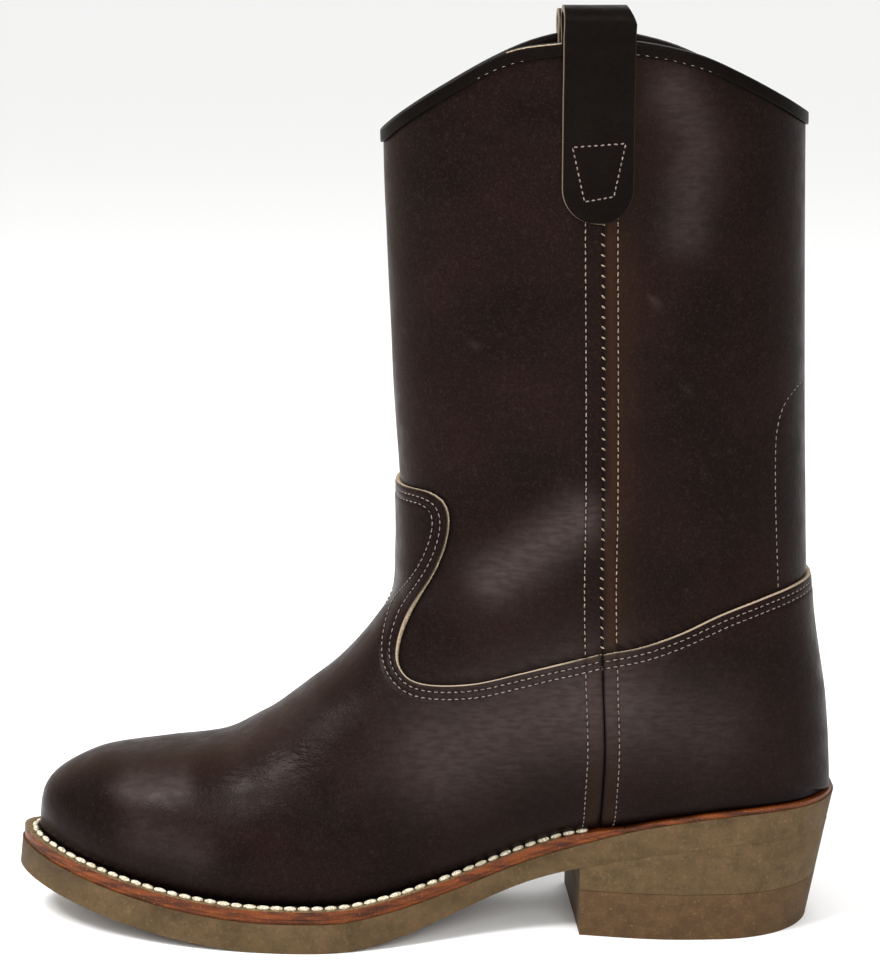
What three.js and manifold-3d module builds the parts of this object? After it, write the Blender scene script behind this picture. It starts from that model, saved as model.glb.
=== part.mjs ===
// A left pull-on leather boot with a tall shaft, a stitched welt, a crepe sole and a stacked heel.
// It stands on its sole, in millimetres, with the toe towards -X, the inner ankle towards +Y and +Z up.
// Below, "back" is a distance forward from the rearmost point of the sole, "side" is +1 on the inner
// side of the foot and -1 on its outer side, and "up" is a height above the floor.
import * as THREE from 'three';
import { mergeVertices } from 'three/addons/utils/BufferGeometryUtils.js';
import Module from 'manifold-3d';

const wasm = await Module();
wasm.setup();

// Plan of the sole
const soleLength = 312;
const ballWidth = 102.4;
const waistWidth = 56.4;
const heelWidth = 76.4;
const ballBack = 205;
const waistBack = 119;
const heelCentreBack = 45;
const toeSwing = 13.3;
// Powers of the outline's curves
const heelRoundness = 2.2;
const toeRoundness = 1.75;
const toeBluntness = 1.9;
const heelSideCurve = 1.5;
const forepartSideCurve = 1.1;
const swingCurve = 1.3;

// Side view of the sole
const toeSpring = 19;
const heelRise = 25.5;
const seatRise = 12.2;
const treadFront = 213;
const treadBack = 196;
const breastBack = 100.5;
const archEndBack = 104;
const archSlope = 0.26;
const outsoleThickness = 10.2;
const shankThinning = 3;
const shankRear = [70, 118];
const shankFront = [128, 182];
const midsoleThickness = 2.8;
const weltThickness = 3.2;
const weltEndBack = 84;
const weltFadeSpan = [76, 110];
const weltInset = 0.5;
const midsoleInset = 0.7;
const heelInset = 0.3;
const insoleThickness = 2.4;
const topliftThickness = 17.6;
const heelRake = 8;

// Leather
const clearance = 0.3;
const seatGap = 0.45;
const wall = 2.2;
const overlayThickness = 1.8;
const overlayShaftRows = 7;
const toeMargin = 6;
const seatMargin = 2.3;
const marginBlend = [0.2, 0.6];
const throatRise = 122.5;
const throatBack = 166.4;
const shaftFrontBack = 172.6;
const shaftRearBack = 17.2;
const collarFrontUp = 301;
const collarRearUp = 307;
const collarSideRise = 31;
const ankleWidth = 84;
const shaftWidth = 88;
const seamBack = 95;
const bindingThickness = 0.8;
const bindingDepth = 5;

// Pull straps
const strapWidth = 26.6;
const strapThickness = 2.2;
const strapBack = 98.5;
const strapInnerBack = 92;
const strapDrop = 61.5;
const strapInnerDrop = 34;
const strapLoopRise = 12;
const strapInnerLoopRise = 7.5;
const strapLoopGap = 8.4;
const strapPinch = 3.2;

// Fineness of the faceted surfaces
const halfSectionSteps = 13;
const outlineSteps = 26;
const strapColumns = 4;
const strapLoopSteps = 5;
const strapLegStep = 9;
// Places down the strap's round end, as shares of its radius
const strapEndRises = [0.02, 0.12, 0.3, 0.6, 1.05];

// How full a section is: 1 is an ellipse, less is squarer
const toeFullness = 0.9;
const ankleFullness = 0.67;
const collarFrontFullness = 1.12;
const collarRearFullness = 0.86;
// Share of a section where its front fullness gives way to its rear fullness
const fullnessBlend = [0.4, 0.8];
// How much of the sole's tilt its side faces follow
const edgeLean = 0.6;

const palette = {
  upperLeather: { color: 0x3b2a27, roughness: 0.42, metalness: 0 },
  strapLeather: { color: 0x33231f, roughness: 0.45, metalness: 0 },
  weltLeather: { color: 0x7d4a2b, roughness: 0.5, metalness: 0 },
  insoleLeather: { color: 0xb08a60, roughness: 0.8, metalness: 0 },
  crepe: { color: 0x7b6a44, roughness: 0.85, metalness: 0 },
  toplift: { color: 0x75603f, roughness: 0.85, metalness: 0 },
};

const lerp = THREE.MathUtils.lerp;
const smooth = (value, from, to) => THREE.MathUtils.smoothstep(value, from, to);

// A value between the rows of a table's column, on a smooth curve through them.
function column(table, name, row) {
  const last = table.length - 1;
  const low = Math.min(Math.floor(row), last - 1);
  const at = (index) => table[THREE.MathUtils.clamp(index, 0, last)][name];
  const [before, from, to, after] = [low - 1, low, low + 1, low + 2].map(at);
  const share = row - low;
  const startSlope = low === 0 ? to - from : (to - before) / 2;
  const endSlope = low === last - 1 ? to - from : (after - from) / 2;
  return hermite(share, from, to, startSlope, endSlope);
}

function hermite(share, from, to, startSlope, endSlope) {
  const square = share * share;
  const cube = square * share;
  return (
    from * (2 * cube - 3 * square + 1) +
    to * (3 * square - 2 * cube) +
    startSlope * (cube - 2 * square + share) +
    endSlope * (cube - square)
  );
}

function place(back, across, up) {
  return new THREE.Vector3(-back, across, up);
}

// Plan of the sole: two rounded ends and a waist between them, bent inwards towards the toe.
function halfWidthAt(back) {
  if (back < heelCentreBack) {
    const share = (heelCentreBack - back) / heelCentreBack;
    return (heelWidth / 2) * Math.sqrt(1 - Math.pow(share, heelRoundness));
  }
  if (back > ballBack) {
    const share = (back - ballBack) / (soleLength - ballBack);
    const left = Math.max(0, 1 - Math.pow(share, toeRoundness));
    return (ballWidth / 2) * Math.pow(left, 1 / toeBluntness);
  }
  const [from, to, end] =
    back < waistBack ? [heelWidth, waistWidth, heelCentreBack] : [ballWidth, waistWidth, ballBack];
  const share = smooth((back - end) / (waistBack - end), 0, 1);
  const curve = back < waistBack ? heelSideCurve : forepartSideCurve;
  return lerp(from, to, Math.pow(share, curve)) / 2;
}

function swingAt(back) {
  const start = breastBack;
  return toeSwing * Math.pow(Math.max(0, back - start) / (soleLength - start), swingCurve);
}

function outlineAt(along, side) {
  const inside = Math.abs(along) > 1 ? 2 - Math.abs(along) : Math.abs(along);
  const turned = along < 0 || along > 1 ? -side : side;
  const back = (soleLength * (1 - Math.cos(Math.PI * inside))) / 2;
  return new THREE.Vector2(back, swingAt(back) + turned * halfWidthAt(back));
}

// The outline moved inwards by an inset. "along" runs from 0 at the heel's back to 1 at the toe.
function edgeAt(along, side, inset) {
  const step = 0.004;
  const tangent = outlineAt(along + step, side).sub(outlineAt(along - step, side)).normalize();
  const inward = new THREE.Vector2(tangent.y, -tangent.x).multiplyScalar(side);
  return outlineAt(along, side).addScaledVector(inward, inset);
}

const alongOf = (share) => Math.acos(1 - 2 * THREE.MathUtils.clamp(share, 0, 1)) / Math.PI;

// Side view of the sole's underside: toe spring, flat tread, arch and the seat over the heel.
function bottomUp(back) {
  const seatEnd = heelCentreBack / 2;
  if (back >= treadFront) {
    return toeSpring * Math.pow((back - treadFront) / (soleLength - treadFront), 2);
  }
  if (back >= treadBack) return 0;
  if (back >= archEndBack) {
    const span = treadBack - archEndBack;
    return hermite((treadBack - back) / span, 0, heelRise, 0, archSlope * span);
  }
  if (back > seatEnd) {
    const span = archEndBack - seatEnd;
    const share = (archEndBack - back) / span;
    return hermite(share, heelRise, heelRise + seatRise, archSlope * span, 0);
  }
  return heelRise + seatRise;
}

function bottomSlope(back) {
  const step = 1;
  return Math.atan2(bottomUp(back + step) - bottomUp(back - step), 2 * step);
}

// Levels are distances from the underside, square to it.
const shankShare = (back) => smooth(back, ...shankRear) * (1 - smooth(back, ...shankFront));
const outsoleTop = (back) => outsoleThickness - shankThinning * shankShare(back);
const midsoleTop = (back) => outsoleTop(back) + midsoleThickness;
const weltFade = (back) => smooth(back, ...weltFadeSpan);
const weltTop = (back) => midsoleTop(back) + weltThickness * weltFade(back);

function onSole(point, level) {
  const slope = bottomSlope(point.x);
  const back = point.x - edgeLean * level * Math.sin(slope);
  return place(back, point.y, bottomUp(point.x) + level * Math.cos(slope));
}

// Height of the surface that the leather stands on, at a finished place along the boot.
function seatUp(back) {
  let station = back;
  for (let turn = 0; turn < 4; turn += 1) {
    station = back + edgeLean * weltTop(station) * Math.sin(bottomSlope(station));
  }
  return bottomUp(station) + weltTop(station) * Math.cos(bottomSlope(station)) + seatGap;
}

const leatherInset = (share) =>
  lerp(seatMargin, toeMargin, smooth(share, ...marginBlend)) + overlayThickness + clearance;

// Sections of the foot, from the toe to the throat. Each lies on a slanted plane from a point on the
// ridge over the foot to the line where the leather meets the sole.
//   top: ridge point, share of sole length; rise: its height over the sole, share of throatRise;
//   end: place on the sole line, share of sole length;
//   tuck: how far the leather turns in again above the sole, share of half the ankle width.
const footSections = [
  { top: 0.972, rise: 0.0, end: 0.93, tuck: -0.25 },
  { top: 0.97, rise: 0.106, end: 0.907, tuck: -0.12 },
  { top: 0.963, rise: 0.157, end: 0.888, tuck: -0.035 },
  { top: 0.95, rise: 0.201, end: 0.865, tuck: 0.035 },
  { top: 0.929, rise: 0.248, end: 0.843, tuck: 0.1 },
  { top: 0.901, rise: 0.296, end: 0.814, tuck: 0.167 },
  { top: 0.865, rise: 0.333, end: 0.779, tuck: 0.226 },
  { top: 0.821, rise: 0.365, end: 0.737, tuck: 0.262 },
  { top: 0.779, rise: 0.385, end: 0.692, tuck: 0.286 },
  { top: 0.74, rise: 0.417, end: 0.647, tuck: 0.31 },
  { top: 0.702, rise: 0.473, end: 0.599, tuck: 0.381 },
  { top: 0.662, rise: 0.539, end: 0.538, tuck: 0.5 },
  { top: 0.622, rise: 0.622, end: 0.471, tuck: 0.61 },
  { top: 0.588, rise: 0.7, end: 0.391, tuck: 0.69 },
  { top: 0.561, rise: 0.772, end: 0.301, tuck: 0.62 },
  { top: 0.543, rise: 0.835, end: 0.224, tuck: 0.587 },
  { top: 0.536, rise: 0.882, end: 0.147, tuck: 0.578 },
  { top: 0.534, rise: 0.92, end: 0.083, tuck: 0.667 },
  { top: 0.5335, rise: 0.952, end: 0.032, tuck: 0.853 },
  { top: 0.5335, rise: 0.978, end: 0.006, tuck: 0.977 },
  { top: 0.5333, rise: 1.0, end: 0.0, tuck: 1.0 },
];

// Sections of the shaft, from the throat to the collar.
//   front, rear: share of the way from the throat and heel lines to the collar's front and rear;
//   frontRise, rearRise: share of the climb there; width: share of the way from ankle to shaft width.
const shaftSections = [
  { front: 0.0, frontRise: 0.0, rear: 0.0, rearRise: 0.0, width: 0.0 },
  { front: -0.03, frontRise: 0.028, rear: 0.03, rearRise: 0.038, width: 0.0 },
  { front: -0.03, frontRise: 0.063, rear: 0.09, rearRise: 0.088, width: 0.0 },
  { front: -0.01, frontRise: 0.107, rear: 0.2, rearRise: 0.147, width: 0.01 },
  { front: 0.03, frontRise: 0.164, rear: 0.4, rearRise: 0.209, width: 0.04 },
  { front: 0.13, frontRise: 0.233, rear: 0.59, rearRise: 0.275, width: 0.13 },
  { front: 0.29, frontRise: 0.321, rear: 0.685, rearRise: 0.357, width: 0.28 },
  { front: 0.45, frontRise: 0.421, rear: 0.745, rearRise: 0.451, width: 0.47 },
  { front: 0.58, frontRise: 0.535, rear: 0.81, rearRise: 0.552, width: 0.65 },
  { front: 0.74, frontRise: 0.66, rear: 0.865, rearRise: 0.665, width: 0.8 },
  { front: 0.87, frontRise: 0.786, rear: 0.915, rearRise: 0.774, width: 0.9 },
  { front: 0.95, frontRise: 0.906, rear: 0.965, rearRise: 0.895, width: 0.97 },
  { front: 1.0, frontRise: 1.0, rear: 1.0, rearRise: 1.0, width: 1.0 },
];

// The topline between the collar's front and rear: share of the way, and share of the side rise on the
// outer and on the inner side of the leg.
const toplineRows = [
  { across: 0.0, outer: 0.0, inner: 0.0 },
  { across: 0.05, outer: 0.24, inner: 0.15 },
  { across: 0.142, outer: 0.55, inner: 0.39 },
  { across: 0.27, outer: 0.9, inner: 0.7 },
  { across: 0.38, outer: 0.985, inner: 0.9 },
  { across: 0.49, outer: 1.0, inner: 0.985 },
  { across: 0.58, outer: 0.96, inner: 0.96 },
  { across: 0.71, outer: 0.79, inner: 0.79 },
  { across: 0.82, outer: 0.53, inner: 0.53 },
  { across: 0.92, outer: 0.25, inner: 0.25 },
  { across: 1.0, outer: 0.0, inner: 0.0 },
];

function toplineRise(across, side) {
  const last = toplineRows.length - 2;
  let low = 0;
  while (low < last && toplineRows[low + 1].across < across) low += 1;
  const { across: from } = toplineRows[low];
  const { across: to } = toplineRows[low + 1];
  const name = side < 0 ? 'outer' : 'inner';
  return column(toplineRows, name, low + (across - from) / (to - from));
}

const throatUp = seatUp(throatBack) + throatRise;
const heelEdge = edgeAt(0, -1, leatherInset(0));
const footRows = footSections.length - 1;
const shaftRows = shaftSections.length - 1;

// One half of a section: points from the ridge round to its end, on the given side.
// Its middle line runs from the ridge to the sole's own middle line at the end.
function halfSection(ridge, end, tuck, side, frontFullness, rearFullness, bow) {
  const endMiddle = swingAt(-end.x);
  const reach = Math.abs(end.y - endMiddle);
  const widest = Math.hypot(reach, tuck);
  const endSine = Math.pow(reach / widest, 1 / rearFullness);
  const turn = tuck > 0 ? Math.PI - Math.asin(endSine) : Math.asin(endSine);
  const points = [];
  for (let step = 0; step <= halfSectionSteps; step += 1) {
    const angle = (turn * step) / halfSectionSteps;
    const share = (1 - Math.cos(angle)) / (1 - Math.cos(turn));
    const point = new THREE.Vector3().lerpVectors(ridge, end, share);
    if (step < halfSectionSteps) {
      const fullness = lerp(frontFullness, rearFullness, smooth(share, ...fullnessBlend));
      const middle = lerp(ridge.y, endMiddle, share);
      point.y = middle + side * widest * Math.pow(Math.sin(angle), fullness);
    }
    point.z += bow * toplineRise(share, side);
    points.push(point);
  }
  return points;
}

// A whole section, from its end on the outer side over the ridge to its end on the inner side.
function joinHalves(outer, inner) {
  return [...outer].reverse().concat(inner.slice(1));
}

// The first section follows the leather's own edge round the toe.
function toeSection() {
  const start = alongOf(footSections[0].end);
  const half = (side) => {
    const points = [];
    for (let step = 0; step <= halfSectionSteps; step += 1) {
      const along = lerp(1, start, step / halfSectionSteps);
      const edge = edgeAt(along, side, leatherInset(1));
      points.push(place(edge.x, edge.y, seatUp(edge.x)));
    }
    return points;
  };
  return joinHalves(half(-1), half(1));
}

function footSection(row) {
  const ridgeBack = column(footSections, 'top', row) * soleLength;
  const rise = column(footSections, 'rise', row) * throatRise;
  const ridge = place(ridgeBack, swingAt(ridgeBack), seatUp(ridgeBack) + rise);
  const end = Math.max(0, column(footSections, 'end', row));
  const tuck = (column(footSections, 'tuck', row) * ankleWidth) / 2;
  const fullness = lerp(toeFullness, ankleFullness, smooth(row, footRows / 2, footRows));
  const half = (side) => {
    const edge = edgeAt(alongOf(end), side, leatherInset(end));
    const foot = place(edge.x, edge.y, seatUp(edge.x));
    return halfSection(ridge, foot, tuck, side, fullness, ankleFullness, 0);
  };
  return joinHalves(half(-1), half(1));
}

function shaftSection(row) {
  const share = (name) => column(shaftSections, name, row);
  const heelUp = seatUp(heelEdge.x);
  const ridge = place(
    lerp(throatBack, shaftFrontBack, share('front')),
    swingAt(throatBack) * (1 - share('frontRise')),
    lerp(throatUp, collarFrontUp, share('frontRise')),
  );
  const end = place(
    lerp(heelEdge.x, shaftRearBack, share('rear')),
    0,
    lerp(heelUp, collarRearUp, share('rearRise')),
  );
  const halfWidth = lerp(ankleWidth, shaftWidth, share('width')) / 2;
  const bow = collarSideRise * Math.pow(row / shaftRows, 2);
  const climb = smooth(row, 0, shaftRows);
  const front = lerp(ankleFullness, collarFrontFullness, climb);
  const rear = lerp(ankleFullness, collarRearFullness, climb);
  const half = (side) => halfSection(ridge, end, halfWidth, side, front, rear, bow);
  return joinHalves(half(-1), half(1));
}

// The last: a grid of points over the whole upper, one row a section, with sections between the
// table's rows where they lie far apart along the sole.
const halfRows = [11, 18];
const footPlaces = [];
for (let row = 1; row < footRows; row += 1) {
  footPlaces.push(row);
  if (row >= halfRows[0] && row <= halfRows[1]) footPlaces.push(row + 0.5);
}
const lastGrid = [
  toeSection(),
  ...footPlaces.map(footSection),
  ...shaftSections.map((_, index) => shaftSection(index)),
];
const heelRow = footPlaces.length + 1;
const topRow = lastGrid.length - 1;
const endColumn = 2 * halfSectionSteps;

function normalAt(row, col) {
  const closed = row >= heelRow;
  const point = (r, c) => lastGrid[THREE.MathUtils.clamp(r, 0, topRow)][c];
  let before = col - 1;
  let after = col + 1;
  if (before < 0) before = closed ? endColumn - 1 : 0;
  if (after > endColumn) after = closed ? 1 : endColumn;
  const alongSection = point(row, after).clone().sub(point(row, before));
  const alongBoot = point(row + 1, col).clone().sub(point(row - 1, col));
  const normal = alongBoot.cross(alongSection);
  if (closed && (col === 0 || col === endColumn)) normal.y = 0;
  if (row === topRow) normal.z = 0;
  return normal.normalize();
}

const lastNormals = lastGrid.map((line, row) => line.map((_, col) => normalAt(row, col)));

// The line where the leather stands on the sole, once round from the heel by the outer side.
const soleLine = [];
for (let row = heelRow; row > 0; row -= 1) soleLine.push([row, 0]);
for (let col = 0; col < endColumn; col += 1) soleLine.push([0, col]);
for (let row = 0; row < heelRow; row += 1) soleLine.push([row, endColumn]);

// There the leather's thickness is measured level, square to the line.
soleLine.forEach(([row, col], index) => {
  const [beforeRow, beforeCol] = soleLine.at(index - 1);
  const [afterRow, afterCol] = soleLine[(index + 1) % soleLine.length];
  const run = lastGrid[afterRow][afterCol].clone().sub(lastGrid[beforeRow][beforeCol]);
  lastNormals[row][col].set(-run.y, run.x, 0).normalize();
});
lastNormals[heelRow][endColumn].copy(lastNormals[heelRow][0]);

const touchesSole = (row, col) =>
  row === 0 || (row <= heelRow && (col === 0 || col === endColumn));

// The last's surface moved out (or in, when negative) by a distance, over the rows from 0 to lastRow.
function offsetGrid(distance, lastRow) {
  return lastGrid.slice(0, lastRow + 1).map((line, row) =>
    line.map((point, col) => {
      const moved = point.clone().addScaledVector(lastNormals[row][col], distance);
      if (touchesSole(row, col)) moved.z = seatUp(-moved.x);
      return moved;
    }),
  );
}

// Faceted bodies
class Body {
  constructor() {
    this.positions = [];
  }

  triangle(a, b, c) {
    for (const point of [a, b, c]) this.positions.push(point.x, point.y, point.z);
  }

  quad(a, b, c, d) {
    this.triangle(a, b, c);
    this.triangle(a, c, d);
  }

  strip(first, second) {
    for (let index = 0; index < first.length - 1; index += 1) {
      this.quad(first[index], first[index + 1], second[index + 1], second[index]);
    }
  }

  // A strip of a section grid, split alike on the outer and the inner side of the foot.
  gridStrip(first, second, facesIn) {
    const middle = (first.length - 1) / 2;
    for (let index = 0; index < first.length - 1; index += 1) {
      const [a, b, c, d] = [first[index], first[index + 1], second[index + 1], second[index]];
      const halves = index < middle ? [[a, b, c], [a, c, d]] : [[a, b, d], [b, c, d]];
      for (const [p, q, r] of halves) {
        if (facesIn) this.triangle(p, r, q);
        else this.triangle(p, q, r);
      }
    }
  }

  // A closed body with its faces pointing out and its flattened triangles dropped.
  geometry() {
    const loose = new THREE.BufferGeometry();
    loose.setAttribute('position', new THREE.Float32BufferAttribute(this.positions, 3));
    return outward(mergeVertices(loose, 1e-3));
  }
}

function outward(merged) {
  const index = merged.index.array;
  const corner = (slot) => new THREE.Vector3().fromBufferAttribute(merged.attributes.position, slot);
  let volume = 0;
  const kept = [];
  for (let start = 0; start < index.length; start += 3) {
    const [a, b, c] = index.slice(start, start + 3);
    if (a === b || b === c || c === a) continue;
    kept.push([a, b, c]);
    volume += corner(a).dot(corner(b).cross(corner(c)));
  }
  const turned = volume < 0 ? kept.map(([a, b, c]) => [a, c, b]) : kept;
  merged.setIndex(turned.flat());
  return merged;
}

// A closed body through rings of points, each ring closed, with its two end rings filled.
function loft(rings, closed = false) {
  const body = new Body();
  const count = closed ? rings.length : rings.length - 1;
  for (let index = 0; index < count; index += 1) {
    const ring = rings[index];
    const next = rings[(index + 1) % rings.length];
    body.strip([...ring, ring[0]], [...next, next[0]]);
  }
  if (!closed) {
    for (const [ring, flip] of [[rings[0], true], [rings.at(-1), false]]) {
      for (let index = 1; index < ring.length - 1; index += 1) {
        const [a, b] = flip ? [ring[index + 1], ring[index]] : [ring[index], ring[index + 1]];
        body.triangle(ring[0], a, b);
      }
    }
  }
  return body.geometry();
}

// The wall between two offsets of the last, closed along the sole line and its top row.
function leatherShell(innerDistance, outerDistance, lastRow) {
  const inner = offsetGrid(innerDistance, lastRow);
  const outer = offsetGrid(outerDistance, lastRow);
  const body = new Body();
  for (let row = 0; row < lastRow; row += 1) {
    body.gridStrip(outer[row], outer[row + 1], false);
    body.gridStrip(inner[row], inner[row + 1], true);
  }
  const soleRows = Math.min(heelRow, lastRow);
  const side = (grid, col) => grid.slice(0, soleRows + 1).map((line) => line[col]);
  body.strip(inner[0], outer[0]);
  body.strip(side(outer, 0), side(inner, 0));
  body.strip(side(inner, endColumn), side(outer, endColumn));
  body.strip(outer[lastRow], inner[lastRow]);
  return body.geometry();
}

function toManifold(geometry) {
  const mesh = new wasm.Mesh({
    numProp: 3,
    vertProperties: new Float32Array(geometry.attributes.position.array),
    triVerts: new Uint32Array(geometry.index.array),
  });
  return new wasm.Manifold(mesh);
}

function fromManifold(solid) {
  const { vertProperties, triVerts } = solid.getMesh();
  const geometry = new THREE.BufferGeometry();
  geometry.setAttribute('position', new THREE.BufferAttribute(vertProperties, 3));
  geometry.setIndex(new THREE.BufferAttribute(triVerts, 1));
  return geometry;
}

// A block with the given outline in side view, right through the boot.
function sideCutter(outline) {
  const shape = new THREE.Shape(outline.map(({ x, y }) => new THREE.Vector2(-x, y)));
  const depth = 2 * ballWidth;
  const block = new THREE.ExtrudeGeometry(shape, { depth, bevelEnabled: false });
  block.deleteAttribute('normal');
  block.deleteAttribute('uv');
  block.rotateX(Math.PI / 2);
  block.translate(0, depth / 2, 0);
  return toManifold(outward(mergeVertices(block, 1e-4)));
}

// Top edges of the two overlays in side view: shares of the sole's length and of the throat's height.
const vampEdge = [
  { back: 0.306, up: 0.785 },
  { back: 0.351, up: 0.76 },
  { back: 0.398, up: 0.731 },
  { back: 0.446, up: 0.703 },
  { back: 0.493, up: 0.689 },
  { back: 0.522, up: 0.694 },
  { back: 0.536, up: 0.72 },
  { back: 0.5385, up: 0.759 },
  { back: 0.53, up: 0.825 },
  { back: 0.511, up: 0.915 },
  { back: 0.493, up: 0.995 },
  { back: 0.482, up: 1.067 },
  { back: 0.479, up: 1.127 },
  { back: 0.484, up: 1.167 },
  { back: 0.496, up: 1.187 },
  { back: 0.513, up: 1.194 },
  { back: 0.56, up: 1.19 },
];
const counterEdge = [
  { back: 0.303, up: 0.785 },
  { back: 0.257, up: 0.804 },
  { back: 0.21, up: 0.838 },
  { back: 0.1625, up: 0.882 },
  { back: 0.115, up: 0.913 },
  { back: 0.08, up: 0.931 },
  { back: 0.045, up: 0.945 },
  { back: -0.02, up: 0.96 },
];

const edgeLine = (rows) =>
  rows.map(({ back, up }) => new THREE.Vector2(back * soleLength, up * throatUp));

function overlay(edge, seamShift, beyondBack) {
  const line = edgeLine(edge);
  const seam = seamBack + seamShift;
  line[0].x = seam;
  const below = -toeSpring;
  const outline = [
    new THREE.Vector2(seam, below),
    ...line,
    new THREE.Vector2(beyondBack, line.at(-1).y),
    new THREE.Vector2(beyondBack, below),
  ];
  const lastRow = heelRow + overlayShaftRows;
  const shell = leatherShell(clearance, clearance + overlayThickness, lastRow);
  return fromManifold(toManifold(shell).intersect(sideCutter(outline)));
}

// Places across the sole, heel to toe, for slabs that follow its plan.
function stations(fromShare, toShare) {
  const from = alongOf(fromShare);
  const to = alongOf(toShare);
  return Array.from({ length: outlineSteps + 1 }, (_, step) => lerp(from, to, step / outlineSteps));
}

// A slab between two levels of the sole, over its whole plan moved in by an inset.
function soleSlab(inset, lower, upper) {
  const rings = stations(0, 1).map((along) => {
    const share = (1 - Math.cos(Math.PI * along)) / 2;
    const outer = edgeAt(along, -1, inset(share));
    const inner = edgeAt(along, 1, inset(share));
    const middle = outer.clone().lerp(inner, 0.5);
    const at = (point, level) => onSole(point, level(point.x));
    return [
      at(outer, lower), at(middle, lower), at(inner, lower),
      at(inner, upper), at(middle, upper), at(outer, upper),
    ];
  });
  return loft(rings);
}

// The strip of welt, from the outer side of the waist round the toe to the inner side.
function weltStrip() {
  const innerInset = (share) => leatherInset(share) + wall + clearance;
  const lower = (back) => midsoleTop(back) + clearance;
  const upper = (back) => Math.max(weltTop(back), lower(back) + clearance);
  const halfPath = stations(weltEndBack / soleLength, 1);
  const path = [
    ...halfPath.map((along) => [along, -1]),
    ...halfPath.slice(0, -1).reverse().map((along) => [along, 1]),
  ];
  const rings = path.map(([along, side]) => {
    const share = (1 - Math.cos(Math.PI * along)) / 2;
    const outer = edgeAt(along, side, weltInset);
    const inner = edgeAt(along, side, innerInset(share));
    return [
      onSole(outer, lower(outer.x)), onSole(outer, upper(outer.x)),
      onSole(inner, upper(inner.x)), onSole(inner, lower(inner.x)),
    ];
  });
  return loft(rings);
}

// A layer of the heel, between two heights. Its back leans in towards the floor.
function heelLayer(lowerUp, upperUp) {
  const seat = heelRise + seatRise;
  const at = (point, up) => {
    const rake = heelRake * (1 - up / seat) * (1 - point.x / breastBack);
    return place(point.x + rake, point.y, up);
  };
  const rings = stations(0, breastBack / soleLength).map((along) => {
    const outer = edgeAt(along, -1, heelInset);
    const inner = edgeAt(along, 1, heelInset);
    outer.x = Math.min(outer.x, breastBack);
    inner.x = Math.min(inner.x, breastBack);
    const middle = outer.clone().lerp(inner, 0.5);
    return [
      at(outer, lowerUp(outer.x)), at(middle, lowerUp(middle.x)), at(inner, lowerUp(inner.x)),
      at(inner, upperUp(inner.x)), at(middle, upperUp(middle.x)), at(outer, upperUp(outer.x)),
    ];
  });
  return loft(rings);
}

// A folded strip over the topline, on both faces of the wall.
function collarBinding() {
  const top = lastGrid[topRow];
  const below = lastGrid[topRow - 1];
  const near = clearance;
  const far = clearance + bindingThickness;
  const profile = [
    [far, -bindingDepth], [far, far], [-wall - far, far], [-wall - far, -bindingDepth],
    [-wall - near, -bindingDepth], [-wall - near, near], [near, near], [near, -bindingDepth],
  ];
  const rings = top.slice(0, endColumn).map((point, col) => {
    const normal = lastNormals[topRow][col];
    const down = below[col].clone().sub(point);
    down.multiplyScalar(1 / Math.abs(down.z));
    return profile.map(([out, rise]) => {
      const along = rise < 0 ? down.clone().multiplyScalar(-rise) : new THREE.Vector3(0, 0, rise);
      return point.clone().addScaledVector(normal, out).add(along);
    });
  });
  return loft(rings, true);
}

// Distance of the last's surface from the middle plane at a place in side view.
function acrossAt(back, up, side) {
  const first = side < 0 ? 0 : halfSectionSteps;
  const target = new THREE.Vector3(-back, 0, up);
  const flat = ({ x, z }) => new THREE.Vector3(x, 0, z);
  for (let row = heelRow; row < topRow; row += 1) {
    for (let col = first; col < first + halfSectionSteps; col += 1) {
      const a = lastGrid[row][col];
      const b = lastGrid[row][col + 1];
      const c = lastGrid[row + 1][col + 1];
      const d = lastGrid[row + 1][col];
      for (const corners of [[a, b, c], [a, c, d]]) {
        const triangle = new THREE.Triangle(...corners.map(flat));
        const weights = triangle.getBarycoord(target, new THREE.Vector3());
        if (weights && Math.min(weights.x, weights.y, weights.z) > -1e-6) {
          return corners[0].y * weights.x + corners[1].y * weights.y + corners[2].y * weights.z;
        }
      }
    }
  }
  throw new Error(`no leather at ${back.toFixed(1)}, ${up.toFixed(1)}`);
}

function toplineAt(back, side) {
  const across = (shaftFrontBack - back) / (shaftFrontBack - shaftRearBack);
  return lerp(collarFrontUp, collarRearUp, across) + collarSideRise * toplineRise(across, side);
}

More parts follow.
